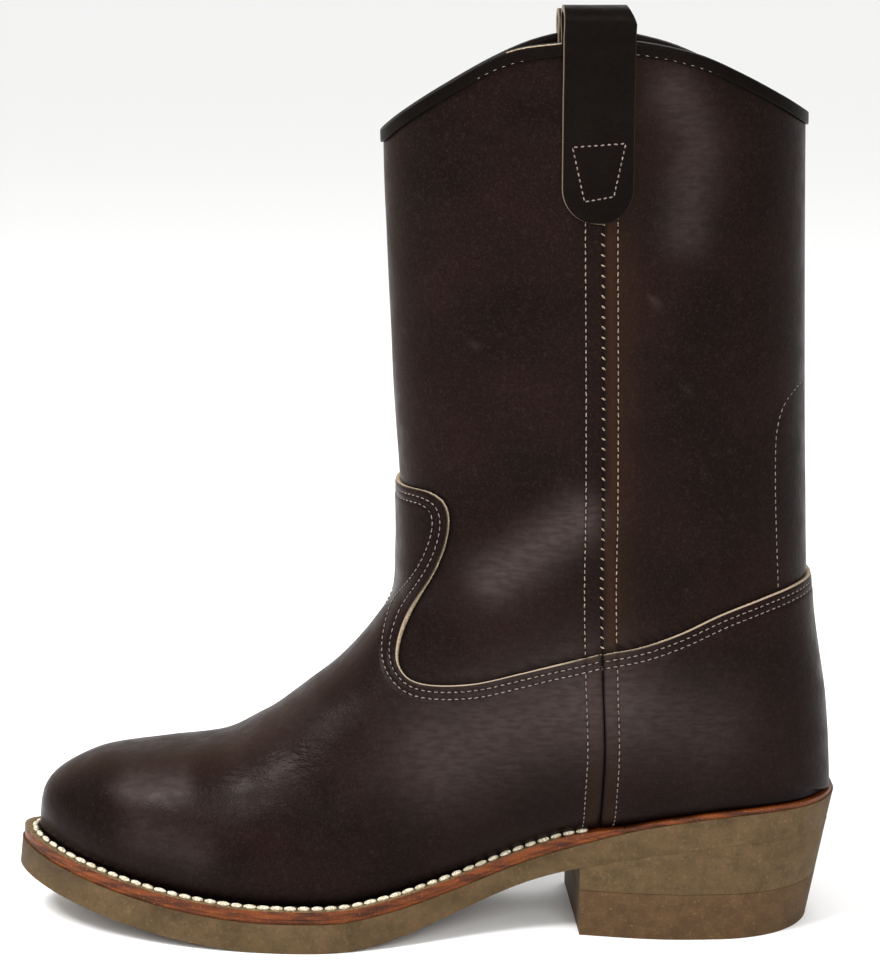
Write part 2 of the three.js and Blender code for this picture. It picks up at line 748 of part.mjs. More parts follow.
// A pull strap's middle line in a plane across the boot, with its lengthwise place: a leg outside that
// starts at a round end, a loop over the topline and a shorter leg inside.
function strapPath(strapMiddle, shift, side) {
  const collar = toplineAt(strapMiddle, side);
  const half = strapThickness / 2;
  const overBinding = 2 * clearance + bindingThickness + half;
  const flatEnd = collar - 4 * bindingDepth;
  const bindingFoot = collar - 2 * bindingDepth;
  const bottom = collar - strapDrop;
  const roundEnd = strapWidth / 2;
  const skin = (back, up) => side * acrossAt(back, Math.min(up, bindingFoot), side);
  const path = [];

  const ups = strapEndRises.map((rise) => bottom + rise * roundEnd);
  const legSteps = Math.ceil((bindingFoot - ups.at(-1)) / strapLegStep);
  const legStart = ups.at(-1);
  for (let step = 1; step <= legSteps; step += 1) ups.push(lerp(legStart, bindingFoot, step / legSteps));
  for (const up of ups) {
    const left = Math.max(0, roundEnd - (up - bottom));
    const back = strapMiddle + (shift / roundEnd) * Math.sqrt(roundEnd ** 2 - left ** 2);
    const offset = lerp(clearance + half, overBinding, smooth(up, flatEnd, bindingFoot));
    path.push({ back, out: skin(back, up) + offset, up });
  }

  const back = strapMiddle + shift;
  const wallOut = skin(back, collar);
  const outer = wallOut + overBinding;
  const inner = wallOut - wall - overBinding;
  const radius = strapLoopGap / 2 + half;
  const loopUp = collar + (side < 0 ? strapLoopRise : strapInnerLoopRise) - radius;
  for (let step = 0; step <= strapLoopSteps; step += 1) {
    const turn = (Math.PI * step) / strapLoopSteps;
    const out = (outer + inner) / 2 + radius * Math.cos(turn);
    const pinch = strapPinch * Math.sin(turn) * (0.5 - shift / strapWidth);
    path.push({ back: back + pinch, out, up: loopUp + radius * Math.sin(turn) });
  }
  path.push({ back, out: inner, up: bindingFoot });
  const innerEnd = collar - strapInnerDrop;
  path.push({ back, out: skin(back, innerEnd) - wall - clearance - half, up: innerEnd });
  return path;
}

function pullStrap(strapMiddle, side) {
  const half = strapThickness / 2;
  const paths = Array.from({ length: strapColumns + 1 }, (_, step) =>
    strapPath(strapMiddle, strapWidth * (step / strapColumns - 0.5), side),
  );
  const face = (sign) =>
    paths.map((path) =>
      path.map(({ back, out, up }, index) => {
        const before = path[Math.max(0, index - 1)];
        const after = path[Math.min(path.length - 1, index + 1)];
        const run = new THREE.Vector2(after.out - before.out, after.up - before.up).normalize();
        return place(back, side * (out + sign * half * run.y), up - sign * half * run.x);
      }),
    );
  const outerFace = face(1);
  const innerFace = face(-1);
  const rings = outerFace[0].map((_, index) => [
    ...outerFace.map((line) => line[index]),
    ...innerFace.map((line) => line[index]).reverse(),
  ]);
  return loft(rings);
}

const boot = new THREE.Group();

function add(name, geometry, finish) {
  const mesh = new THREE.Mesh(geometry, new THREE.MeshStandardMaterial(palette[finish]));
  mesh.name = name;
  boot.add(mesh);
}

const insoleInset = (share) => leatherInset(share) + wall + 6 * clearance;
const outsoleUnderside = (back) => bottomUp(back) - clearance;

add('outsole', soleSlab(() => 0, () => 0, outsoleTop), 'crepe');
add('midsole', soleSlab(
  () => midsoleInset,
  (back) => outsoleTop(back) + clearance,
  midsoleTop,
), 'weltLeather');
add('welt', weltStrip(), 'weltLeather');
add('insole', soleSlab(
  insoleInset,
  (back) => midsoleTop(back) + clearance,
  (back) => weltTop(back) + insoleThickness,
), 'insoleLeather');
add('heel_toplift', heelLayer(() => 0, () => topliftThickness), 'toplift');
add('heel_lift', heelLayer(() => topliftThickness + clearance, outsoleUnderside), 'crepe');
add('upper', leatherShell(-wall, 0, topRow), 'upperLeather');
add('vamp', overlay(vampEdge, clearance / 2, 1.2 * soleLength), 'upperLeather');
add('counter', overlay(counterEdge, -clearance / 2, -0.2 * soleLength), 'upperLeather');
add('collar_binding', collarBinding(), 'strapLeather');
add('pull_strap_outer', pullStrap(strapBack, -1), 'strapLeather');
add('pull_strap_inner', pullStrap(strapInnerBack, 1), 'strapLeather');

const box = new THREE.Box3().setFromObject(boot);
const centre = box.getCenter(new THREE.Vector3());
boot.position.set(-centre.x, -centre.y, 0);
boot.updateMatrixWorld(true);

export default boot;
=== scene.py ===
"""Dresses a left pull-on leather boot with a stitched welt, a crepe sole and a stacked heel."""

import logging
import math
import random
from dataclasses import dataclass, field
from enum import Enum
from typing import Any, Callable, Iterable, Sequence

import bmesh
import bpy
import numpy as np
from bmesh.types import BMesh, BMVert
from mathutils import Matrix, Vector
from mathutils.bvhtree import BVHTree


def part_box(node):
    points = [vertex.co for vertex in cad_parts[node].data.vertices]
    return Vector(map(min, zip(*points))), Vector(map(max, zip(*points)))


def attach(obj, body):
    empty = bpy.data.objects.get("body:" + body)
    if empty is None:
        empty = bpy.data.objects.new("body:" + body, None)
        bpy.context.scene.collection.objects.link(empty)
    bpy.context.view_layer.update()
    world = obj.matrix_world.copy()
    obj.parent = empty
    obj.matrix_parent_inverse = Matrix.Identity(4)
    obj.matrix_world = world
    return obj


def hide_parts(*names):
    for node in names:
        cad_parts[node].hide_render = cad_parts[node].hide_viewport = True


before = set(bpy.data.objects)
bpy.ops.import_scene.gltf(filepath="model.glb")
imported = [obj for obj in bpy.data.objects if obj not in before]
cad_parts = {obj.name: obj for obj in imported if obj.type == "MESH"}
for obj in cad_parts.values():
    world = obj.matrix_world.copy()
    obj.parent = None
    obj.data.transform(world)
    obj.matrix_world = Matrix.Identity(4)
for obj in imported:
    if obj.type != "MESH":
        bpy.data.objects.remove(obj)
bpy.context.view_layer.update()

log = logging.getLogger("boot")

MM = 0.001
Values = np.ndarray | float
Spot = tuple[float, float, float]
# Below, "back" is a distance forward from the sole's rearmost point, "side" is +1 on the inner
# side of the foot and -1 on its outer side, and all working lengths are in millimetres.
ORIGIN_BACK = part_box("outsole")[1].x / MM
ORIGIN_ACROSS = (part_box("heel_toplift")[0].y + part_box("heel_toplift")[1].y) / 2 / MM


class Side(Enum):
    """The two sides of the foot, as the sign of the distance across it."""

    OUTER = -1
    INNER = 1


def smooth(value: Values, low: float, high: float) -> np.ndarray:
    """Eases from 0 at low to 1 at high."""
    share = np.clip((np.asarray(value, float) - low) / (high - low), 0.0, 1.0)
    return share * share * (3.0 - 2.0 * share)


def bell(value: np.ndarray, width: float) -> np.ndarray:
    """A soft bump of height 1 at 0, falling away over the width."""
    return np.exp(-((np.asarray(value, float) / width) ** 2))


def hermite(
    share: Values, start: Values, end: Values, start_slope: Values, end_slope: Values,
) -> Values:
    """Returns the cubic between two values with the given slopes, for share from 0 to 1.

    Args:
        share: The way from the start at 0 to the end at 1.
        start: Value at the start.
        end: Value at the end.
        start_slope: Slope at the start.
        end_slope: Slope at the end.

    Returns:
        The values on the cubic.
    """
    square = share * share
    cube = square * share
    return (
        start * (2 * cube - 3 * square + 1)
        + end * (3 * square - 2 * cube)
        + start_slope * (cube - 2 * square + share)
        + end_slope * (cube - square)
    )


def between_rows(table: np.ndarray, place: float) -> np.ndarray:
    """Reads a table between its rows, on a smooth curve through them.

    Args:
        table: One row a place, one column a quantity.
        place: Row number, with a fraction between rows.

    Returns:
        The row's values at that place.
    """
    last = len(table) - 1
    low = min(int(math.floor(place)), last - 1)
    before, start, end, after = (table[min(max(low + k, 0), last)] for k in (-1, 0, 1, 2))
    start_slope = end - start if low == 0 else (end - before) / 2
    end_slope = end - start if low == last - 1 else (after - start) / 2
    return hermite(place - low, start, end, start_slope, end_slope)


def curve_through(points: Sequence[Sequence[float]], steps: int = 10) -> np.ndarray:
    """Returns a smooth polyline through a few given points.

    Args:
        points: The points, in order.
        steps: Steps from one point to the next.

    Returns:
        The places along the curve.
    """
    table = np.array(points, float)
    places = np.linspace(0, len(table) - 1, (len(table) - 1) * steps + 1)
    return np.array([between_rows(table, place) for place in places])


def place(back: Values, across: Values, up: Values) -> np.ndarray:
    """Returns frame coordinates, in millimetres, of places given along, across and above."""
    back, across, up = np.broadcast_arrays(back, across, up)
    return np.stack([ORIGIN_BACK - back, across + ORIGIN_ACROSS, up], axis=-1).astype(float)


def back_of(points: np.ndarray) -> np.ndarray:
    """Returns the distance forward from the sole's rearmost point."""
    return ORIGIN_BACK - points[..., 0]


@dataclass(frozen=True)
class SoleForm:
    """Plan and side view of the sole."""

    length: float = 312.0
    ball_width: float = 102.4
    waist_width: float = 56.4
    heel_width: float = 76.4
    ball_back: float = 205.0
    waist_back: float = 119.0
    heel_centre: float = 45.0
    toe_swing: float = 13.3
    toe_spring: float = 19.0
    heel_rise: float = 25.5
    seat_rise: float = 12.2
    tread_front: float = 213.0
    tread_back: float = 196.0
    breast_back: float = 100.5
    arch_end: float = 104.0
    arch_slope: float = 0.26
    outsole: float = 11.2
    shank_thinning: float = 3.0
    midsole: float = 1.8
    welt: float = 3.2
    welt_end: float = 84.0
    edge_lean: float = 0.25
    seat_gap: float = 0.45
    toe_reach: float = 1.6
    heel_lean: float = 0.2

    def half_width(self, back: np.ndarray) -> np.ndarray:
        """Returns half the sole's width at each place.

        Args:
            back: Distances forward of the sole's rearmost point.

        Returns:
            Half widths in millimetres.
        """
        back = np.asarray(back, float)
        heel_share = np.clip((self.heel_centre - back) / self.heel_centre, 0, 1)
        heel = self.heel_width / 2 * np.sqrt(1 - heel_share**2.2)
        toe_share = np.clip((back - self.ball_back) / (self.length - self.ball_back), 0, 1)
        toe = self.ball_width / 2 * (1 - toe_share**1.75) ** (1 / 1.9)
        rear = smooth(back, self.heel_centre, self.waist_back) ** 1.5
        rear = (self.heel_width + (self.waist_width - self.heel_width) * rear) / 2
        fore = smooth(-back, -self.ball_back, -self.waist_back) ** 1.1
        fore = (self.ball_width + (self.waist_width - self.ball_width) * fore) / 2
        cases = [back < self.heel_centre, back < self.waist_back, back <= self.ball_back]
        return np.select(cases, [heel, rear, fore], toe)

    def swing(self, back: Values) -> np.ndarray:
        """Returns how far the sole's middle line lies towards the inner side."""
        run = np.maximum(0, np.asarray(back, float) - self.breast_back)
        return self.toe_swing * (run / (self.length - self.breast_back)) ** 1.3

    def outline(self, along: np.ndarray, side: int) -> np.ndarray:
        """Returns (back, across) on the outline; along runs from the heel at 0 to the toe at 1.

        Args:
            along: Places along one side, from 0 to 1.
            side: The side of the foot.

        Returns:
            Places in plan.
        """
        along = np.asarray(along, float)
        inside = np.where(np.abs(along) > 1, 2 - np.abs(along), np.abs(along))
        turned = np.where((along < 0) | (along > 1), -side, side)
        back = self.length * (1 - np.cos(np.pi * inside)) / 2
        return np.stack([back, self.swing(back) + turned * self.half_width(back)], axis=-1)

    def edge(self, along: np.ndarray, side: int, inset: Values) -> np.ndarray:
        """Returns (back, across) on the outline moved inwards by an inset.

        Args:
            along: Places along one side.
            side: The side of the foot.
            inset: How far in.

        Returns:
            Places in plan.
        """
        step = 0.004
        tangent = self.outline(along + step, side) - self.outline(along - step, side)
        tangent /= np.linalg.norm(tangent, axis=-1, keepdims=True)
        inward = np.stack([tangent[..., 1], -tangent[..., 0]], axis=-1) * side
        return self.outline(along, side) + inward * np.asarray(inset, float)[..., None]

    @staticmethod
    def along_of(share: Values) -> np.ndarray:
        """Returns the place along the outline for a share of the sole's length."""
        return np.arccos(1 - 2 * np.clip(share, 0, 1)) / np.pi

    def bottom(self, back: Values) -> np.ndarray:
        """Returns the height of the outsole's underside.

        Args:
            back: Distances forward of the sole's rearmost point.

        Returns:
            Heights over the floor.
        """
        back = np.asarray(back, float)
        toe_span = self.length - self.tread_front
        toe = self.toe_spring * np.clip((back - self.tread_front) / toe_span, 0, 2) ** 2
        arch_span = self.tread_back - self.arch_end
        arch = hermite(
            (self.tread_back - back) / arch_span, 0, self.heel_rise, 0, self.arch_slope * arch_span,
        )
        seat_end = self.heel_centre / 2
        seat_span = self.arch_end - seat_end
        top = self.heel_rise + self.seat_rise
        seat = hermite(
            (self.arch_end - back) / seat_span, self.heel_rise, top, self.arch_slope * seat_span, 0,
        )
        starts = (self.tread_front, self.tread_back, self.arch_end)
        cases = [*(back >= start for start in starts), back > seat_end]
        return np.select(cases, [toe, 0.0 * back, arch, seat], top)

    def slope(self, back: Values) -> np.ndarray:
        """Returns the underside's slope as an angle."""
        return np.arctan2(self.bottom(back + 1.0) - self.bottom(back - 1.0), 2.0)

    def outsole_top(self, back: np.ndarray) -> np.ndarray:
        """Returns the level of the outsole's upper face over its underside."""
        shank = smooth(back, 70, 118) * (1 - smooth(back, 128, 182))
        return self.outsole - self.shank_thinning * shank

    def midsole_top(self, back: np.ndarray) -> np.ndarray:
        """Returns the level of the midsole's upper face."""
        return self.outsole_top(back) + self.midsole

    def welt_top(self, back: np.ndarray) -> np.ndarray:
        """Returns the level of the welt's upper face."""
        return self.midsole_top(back) + self.welt * smooth(back, 76, 110)

    def moved(self, back: Values, level: Values) -> np.ndarray:
        """Returns how far forward of its place in plan a place at a level stands.

        Args:
            back: Distances forward of the sole's rearmost point.
            level: Levels over the underside.

        Returns:
            Distances forward.
        """
        toe = self.toe_reach * smooth(back, 262, self.length)
        heel = np.clip(1 - back / self.breast_back, 0, 1) * np.clip(self.outsole - level, 0, None)
        return toe + self.heel_lean * heel - self.edge_lean * level * np.sin(self.slope(back))

    def on_sole(self, plan: np.ndarray, level: Values) -> np.ndarray:
        """Returns places at a level over the underside, for (back, across) places in plan.

        Args:
            plan: Places in plan.
            level: Their levels.

        Returns:
            Places in the frame.
        """
        back = plan[..., 0]
        up = self.bottom(back) + level * np.cos(self.slope(back))
        return place(back + self.moved(back, level), plan[..., 1], up)

    def seat(self, back: Values) -> np.ndarray:
        """Returns the height that the leather stands on.

        Args:
            back: Distances forward of the sole's rearmost point.

        Returns:
            Heights over the floor.
        """
        back = np.asarray(back, float)
        station = back
        for _ in range(4):
            station = back - self.moved(station, self.welt_top(station))
        rise = self.welt_top(station) * np.cos(self.slope(station))
        return self.bottom(station) + rise + self.seat_gap


@dataclass(frozen=True)
class Crease:
    """A soft trough, or a ridge where the depth is negative, along a line in side view."""

    line: tuple[tuple[float, float], ...]
    depth: float
    width: float
    side: int = 0

    def relief(self, back: np.ndarray, up: np.ndarray, across: np.ndarray) -> np.ndarray:
        """Returns how far the crease moves the leather outwards at each place.

        Args:
            back: Distances forward of the sole's rearmost point.
            up: Heights.
            across: Distances across.

        Returns:
            Distances outwards.
        """
        path = curve_through(self.line, 6)
        distance, share = distance_to(path, back, up)
        ends = smooth(share, 0.0, 0.25) * (1 - smooth(share, 0.75, 1.0))
        moved = -self.depth * bell(distance, self.width) * ends
        if self.side:
            moved = moved * smooth(across * self.side, 0.0, 12.0)
        return moved


def distance_to(
    path: np.ndarray, back: np.ndarray, up: np.ndarray,
) -> tuple[np.ndarray, np.ndarray]:
    """Measures the way from each place to a polyline in side view.

    Args:
        path: Places (back, up) along the line.
        back: Distances forward of the places to measure.
        up: Their heights.

    Returns:
        The distances, and the share of the line's length at the nearest place.
    """
    flat = np.stack([back.ravel(), up.ravel()], axis=1)
    start, run = path[:-1], np.diff(path, axis=0)
    length = np.linalg.norm(run, axis=1)
    passed = np.concatenate([[0.0], np.cumsum(length)])
    best = np.full(len(flat), 1e9)
    share = np.zeros(len(flat))
    for index in range(len(start)):
        along = np.clip((flat - start[index]) @ run[index] / length[index] ** 2, 0, 1)
        gap = np.linalg.norm(flat - start[index] - along[:, None] * run[index], axis=1)
        nearer = gap < best
        best = np.where(nearer, gap, best)
        share = np.where(nearer, (passed[index] + along * length[index]) / passed[-1], share)
    return best.reshape(back.shape), share.reshape(back.shape)


def inside_outline(outline: np.ndarray, back: np.ndarray, up: np.ndarray) -> np.ndarray:
    """Tells which places in side view lie inside a closed outline.

    Args:
        outline: Corners (back, up) of the outline.
        back: Distances forward of the sole's rearmost point.
        up: Heights.

    Returns:
        True for each place inside.
    """
    inside = np.zeros(back.shape, bool)
    for (x0, y0), (x1, y1) in zip(outline, np.roll(outline, -1, axis=0)):
        crosses = (y0 > up) != (y1 > up)
        at = x0 + (up - y0) * (x1 - x0) / (y1 - y0 if y1 != y0 else 1e-9)
        inside ^= crosses & (back < at)
    return inside


@dataclass
class Last:
    """The surface of the leather: sections of foot and shaft, as a fine grid of points."""

    sole: SoleForm = field(default_factory=SoleForm)
    toe_margin: float = 6.0
    seat_margin: float = 2.3
    overlay: float = 1.8
    clearance: float = 0.3
    throat_rise: float = 122.5
    throat_back: float = 166.4
    collar_front_back: float = 172.6
    collar_rear_back: float = 17.2
    collar_front_up: float = 301.0
    collar_rear_up: float = 307.0
    collar_side_rise: float = 31.0
    ankle_width: float = 84.0
    shaft_width: float = 88.0
    toe_fullness: float = 0.9
    ankle_fullness: float = 0.67
    collar_front_fullness: float = 1.12
    collar_rear_fullness: float = 0.86
    half_steps: int = 60
    row_spacing: float = 2.4
    creases: tuple[Crease, ...] = ()

    # top, rise, end, tuck: the ridge's place and height, the place on the sole line, the turning in
    FOOT = np.array([
        (0.972, 0.0, 0.93, -0.25), (0.97, 0.106, 0.907, -0.12), (0.963, 0.157, 0.888, -0.035),
        (0.95, 0.201, 0.865, 0.035), (0.929, 0.248, 0.843, 0.1), (0.901, 0.296, 0.814, 0.167),
        (0.865, 0.333, 0.779, 0.226), (0.821, 0.365, 0.737, 0.262), (0.779, 0.385, 0.692, 0.286),
        (0.74, 0.417, 0.647, 0.31), (0.702, 0.473, 0.599, 0.381), (0.662, 0.539, 0.538, 0.5),
        (0.622, 0.622, 0.471, 0.61), (0.588, 0.7, 0.391, 0.69), (0.561, 0.772, 0.301, 0.62),
        (0.543, 0.835, 0.224, 0.587), (0.536, 0.882, 0.147, 0.578), (0.534, 0.92, 0.083, 0.667),
        (0.5335, 0.952, 0.032, 0.853), (0.5335, 0.978, 0.006, 0.977), (0.5333, 1.0, 0.0, 1.0),
    ])
    # front, front rise, rear, rear rise, width: shares of the way from the ankle to the collar
    SHAFT = np.array([
        (0.0, 0.0, 0.0, 0.0, 0.0), (-0.03, 0.028, 0.03, 0.038, 0.0),
        (-0.03, 0.063, 0.09, 0.088, 0.0), (-0.01, 0.107, 0.2, 0.147, 0.01),
        (0.03, 0.164, 0.4, 0.209, 0.04), (0.13, 0.233, 0.59, 0.275, 0.13),
        (0.29, 0.321, 0.685, 0.357, 0.28), (0.45, 0.421, 0.745, 0.451, 0.47),
        (0.58, 0.535, 0.81, 0.552, 0.65), (0.74, 0.66, 0.865, 0.665, 0.8),
        (0.87, 0.786, 0.915, 0.774, 0.9), (0.95, 0.906, 0.965, 0.895, 0.97),
        (1.0, 1.0, 1.0, 1.0, 1.0),
    ])
    # across, outer, inner: place along the topline and its height on each side of the leg
    TOPLINE = np.array([
        (0.0, 0.0, 0.0), (0.05, 0.24, 0.15), (0.142, 0.55, 0.39), (0.27, 0.9, 0.7),
        (0.38, 0.985, 0.9), (0.49, 1.0, 0.985), (0.58, 0.96, 0.96), (0.71, 0.79, 0.79),
        (0.82, 0.53, 0.53), (0.92, 0.25, 0.25), (1.0, 0.0, 0.0),
    ])

    def __post_init__(self) -> None:
        """Lays out the grid, its normals and its relief."""
        self.throat_up = float(self.sole.seat(self.throat_back)) + self.throat_rise
        self.topline = curve_through(self.TOPLINE, 8)
        self.heel_edge = self.sole.edge(np.array(0.0), -1, self.leather_inset(0.0))
        rows = self._rows()
        self.points = np.array([row for row, _ in rows])
        self.heel_row = next(index for index, (_, on_shaft) in enumerate(rows) if on_shaft)
        self.end = self.points.shape[1] - 1
        self._ease_ankle()
        self.normals = self._normals()
        back, up = back_of(self.points), self.points[..., 2]
        across = self.points[..., 1] - ORIGIN_ACROSS
        self.relief = sum((crease.relief(back, up, across) for crease in self.creases), 0.0 * back)
        for row, col in self._sole_line():
            self.relief[row, col] = 0.0

    def leather_inset(self, share: float) -> float:
        """Returns how far the leather stands in from the sole's outline.

        Args:
            share: The way from heel to toe.

        Returns:
            The inset in millimetres.
        """
        wider = self.toe_margin - self.seat_margin
        margin = self.seat_margin + wider * float(smooth(share, 0.2, 0.6))
        return margin + self.overlay + self.clearance

    def topline_rise(self, across: np.ndarray, side: int) -> np.ndarray:
        """Returns the share of the topline's side rise at each share of the way across."""
        return np.interp(across, self.topline[:, 0], self.topline[:, 1 if side < 0 else 2])

    def topline_up(self, back: float, side: int) -> float:
        """Returns the collar's height at a place along the boot.

        Args:
            back: Distance forward.
            side: The side of the foot.

        Returns:
            The height over the floor.
        """
        across = (self.collar_front_back - back) / (self.collar_front_back - self.collar_rear_back)
        level = self.collar_front_up + (self.collar_rear_up - self.collar_front_up) * across
        return level + self.collar_side_rise * float(self.topline_rise(np.array(across), side))

    def _half(
        self, ridge: Spot, end: Spot, tuck: float, side: int,
        fullness: tuple[float, float], bow: float,
    ) -> np.ndarray:
        """Returns one half of a section, as (back, across, up) from its ridge to its end.

        Args:
            ridge: The section's place on the ridge.
            end: Its place on the sole or at the back.
            tuck: How far it turns in, or half its width on the leg.
            side: The side of the foot.
            fullness: Powers of its roundness at the ridge and at the end.
            bow: How far the topline rises in its middle.

        Returns:
            Places from the ridge to the end.
        """
        end_middle = float(self.sole.swing(end[0]))
        reach = abs(end[1] - end_middle)
        widest = math.hypot(reach, tuck)
        end_angle = math.asin((reach / widest) ** (1 / fullness[1]))
        turn = math.pi - end_angle if tuck > 0 else end_angle
        angle = np.linspace(0, turn, self.half_steps + 1)
        share = (1 - np.cos(angle)) / (1 - math.cos(turn))
        power = fullness[0] + (fullness[1] - fullness[0]) * smooth(share, 0.4, 0.8)
        middle = ridge[1] + (end_middle - ridge[1]) * share
        across = middle + side * widest * np.clip(np.sin(angle), 0, 1) ** power
        across[-1] = end[1]
        back = ridge[0] + (end[0] - ridge[0]) * share
        up = ridge[2] + (end[2] - ridge[2]) * share + bow * self.topline_rise(share, side)
        return np.stack([back, across, up], axis=1)

    @staticmethod
    def _join(outer: np.ndarray, inner: np.ndarray) -> np.ndarray:
        """Joins two halves into a section, in frame coordinates."""
        whole = np.concatenate([outer[::-1], inner[1:]])
        return place(whole[:, 0], whole[:, 1], whole[:, 2])

    def _toe_line(self) -> np.ndarray:
        """Returns the leather's own edge round the toe.

        Returns:
            The line in the frame.
        """
        halves = []
        for side in (-1, 1):
            along = np.linspace(1, float(self.sole.along_of(self.FOOT[0, 2])), self.half_steps + 1)
            edge = self.sole.edge(along, side, self.leather_inset(1.0))
            halves.append(np.column_stack([edge, self.sole.seat(edge[:, 0])]))
        return self._join(*halves)

    def _foot(self, row: float) -> np.ndarray:
        """Returns a section of the foot.

        Args:
            row: Row of the foot's table.

        Returns:
            The section in the frame.
        """
        top, rise, end, tuck = between_rows(self.FOOT, row)
        end = max(0.0, float(end))
        ridge_back = top * self.sole.length
        ridge_up = float(self.sole.seat(ridge_back)) + rise * self.throat_rise
        ridge = (ridge_back, float(self.sole.swing(ridge_back)), ridge_up)
        last = len(self.FOOT) - 1
        fuller = self.ankle_fullness - self.toe_fullness
        front = self.toe_fullness + fuller * float(smooth(row, last / 2, last))
        halves = []
        for side in (-1, 1):
            edge = self.sole.edge(self.sole.along_of(end), side, self.leather_inset(end))
            foot = (edge[0], edge[1], float(self.sole.seat(edge[0])))
            turned, fullness = tuck * self.ankle_width / 2, (front, self.ankle_fullness)
            halves.append(self._half(ridge, foot, turned, side, fullness, 0.0))
        return self._join(*halves)

    def _shaft(self, row: float) -> np.ndarray:
        """Returns a section of the shaft.

        Args:
            row: Row of the shaft's table.

        Returns:
            The section in the frame.
        """
        front, front_rise, rear, rear_rise, width = between_rows(self.SHAFT, row)
        last = len(self.SHAFT) - 1
        climb = float(smooth(row, 0, last))
        ridge = (
            self.throat_back + (self.collar_front_back - self.throat_back) * front,
            float(self.sole.swing(self.throat_back)) * (1 - front_rise),
            self.throat_up + (self.collar_front_up - self.throat_up) * front_rise,
        )
        heel_up = float(self.sole.seat(self.heel_edge[0]))
        end = (
            self.heel_edge[0] + (self.collar_rear_back - self.heel_edge[0]) * rear,
            0.0,
            heel_up + (self.collar_rear_up - heel_up) * rear_rise,
        )
        half_width = (self.ankle_width + (self.shaft_width - self.ankle_width) * width) / 2
        fullness = (
            self.ankle_fullness + (self.collar_front_fullness - self.ankle_fullness) * climb,
            self.ankle_fullness + (self.collar_rear_fullness - self.ankle_fullness) * climb,
        )
        bow = self.collar_side_rise * (row / last) ** 2
        halves = (self._half(ridge, end, half_width, side, fullness, bow) for side in (-1, 1))
        return self._join(*halves)

    def _rows(self) -> list[tuple[np.ndarray, bool]]:
        """Returns the grid's rows, evenly spaced, each with whether it belongs to the shaft.

        Returns:
            The rows from the toe to the collar.
        """
        toe, first, second = self._toe_line(), self._foot(1), self._foot(2)

        def at(position: float) -> np.ndarray:
            """Returns the section at a place in the run of the table's rows.

            Args:
                position: Row, with a fraction between rows.

            Returns:
                The section in the frame.
            """
            if position < 1:
                return hermite(position, toe, first, first - toe, (second - toe) / 2)
            if position < len(self.FOOT) - 1:
                return self._foot(position)
            return self._shaft(min(position - len(self.FOOT) + 1, len(self.SHAFT) - 1))

        rows = [(at(0), False)]
        last = len(self.FOOT) + len(self.SHAFT) - 2
        for whole in range(last):
            gap = np.linalg.norm(at(whole + 1) - at(whole), axis=1).max()
            steps = max(2, math.ceil(gap / self.row_spacing))
            for step in range(1, steps + 1):
                position = whole + step / steps
                rows.append((at(position), position >= len(self.FOOT) - 1))
        return rows

    def _ease_ankle(self, passes: int = 90, reach: int = 34) -> None:
        """Evens out the turn from the foot's sections to the shaft's.

        Args:
            passes: How often it is evened.
            reach: How many rows away it ends.
        """
        row_count, col_count = self.points.shape[:2]
        rows = np.abs(np.arange(row_count) - self.heel_row + 6.0) / reach
        sides = np.abs(np.arange(col_count) - self.end / 2) / (self.end / 2)
        # Full at the turn, next to nothing at the instep and the sole
        at_turn = (1 - smooth(rows, 0.4, 1.0))[:, None]
        between = (0.12 + 0.88 * smooth(sides, 0.06, 0.3) - smooth(sides, 0.72, 0.93))[None, :]
        weight = at_turn * between
        inner = np.clip(weight, 0.0, 1.0)[1:-1, :, None]
        for _ in range(passes):
            evened = (self.points[:-2] + 2 * self.points[1:-1] + self.points[2:]) / 4
            self.points[1:-1] += (evened - self.points[1:-1]) * inner

    def _sole_line(self) -> list[tuple[int, int]]:
        """Returns the grid places where the leather stands on the sole, once round from the heel.

        Returns:
            Rows and columns in order.
        """
        line = [(row, 0) for row in range(self.heel_row, 0, -1)]
        line += [(0, col) for col in range(self.end)]
        line += [(row, self.end) for row in range(self.heel_row)]
        return line

    def _normals(self) -> np.ndarray:
        """Returns the outward normal at each grid place.

        Returns:
            Unit vectors, level where the leather meets the sole.
        """
        points = self.points
        across = np.gradient(points, axis=1)
        closed = slice(self.heel_row, None)
        across[closed, 0] = across[closed, -1] = (points[closed, 1] - points[closed, -2]) / 2
        normals = np.cross(np.gradient(points, axis=0), across)
        normals[closed, 0, 1] = normals[closed, -1, 1] = 0.0
        normals[-1, :, 2] = 0.0
        line = self._sole_line()
        for index, (row, col) in enumerate(line):
            run = points[line[(index + 1) % len(line)]] - points[line[index - 1]]
            normals[row, col] = (-run[1], run[0], 0.0)
        normals[self.heel_row, self.end] = normals[self.heel_row, 0]
        normals /= np.linalg.norm(normals, axis=-1, keepdims=True)
        level = smooth(self.height(), 0.5, 9.0)
        normals[..., 2] = np.where(normals[..., 2] < 0, normals[..., 2] * level, normals[..., 2])
        return normals / np.linalg.norm(normals, axis=-1, keepdims=True)

    def height(self) -> np.ndarray:
        """Returns how far each grid place stands over the welt."""
        return self.points[..., 2] - self.sole.seat(back_of(self.points))

    def skin(self, distance: Values) -> np.ndarray:
        """Returns the grid moved out by a distance, with its relief, standing on the sole.

        Args:
            distance: How far out, in millimetres.

        Returns:
            Places in the frame.
        """
        moved = self.points + self.normals * (np.asarray(distance) + self.relief)[..., None]
        seat = self.sole.seat(back_of(moved))
        moved[..., 2] = np.maximum(moved[..., 2], seat + 0.02)
        for row, col in self._sole_line():
            moved[row, col, 2] = seat[row, col]
        return moved


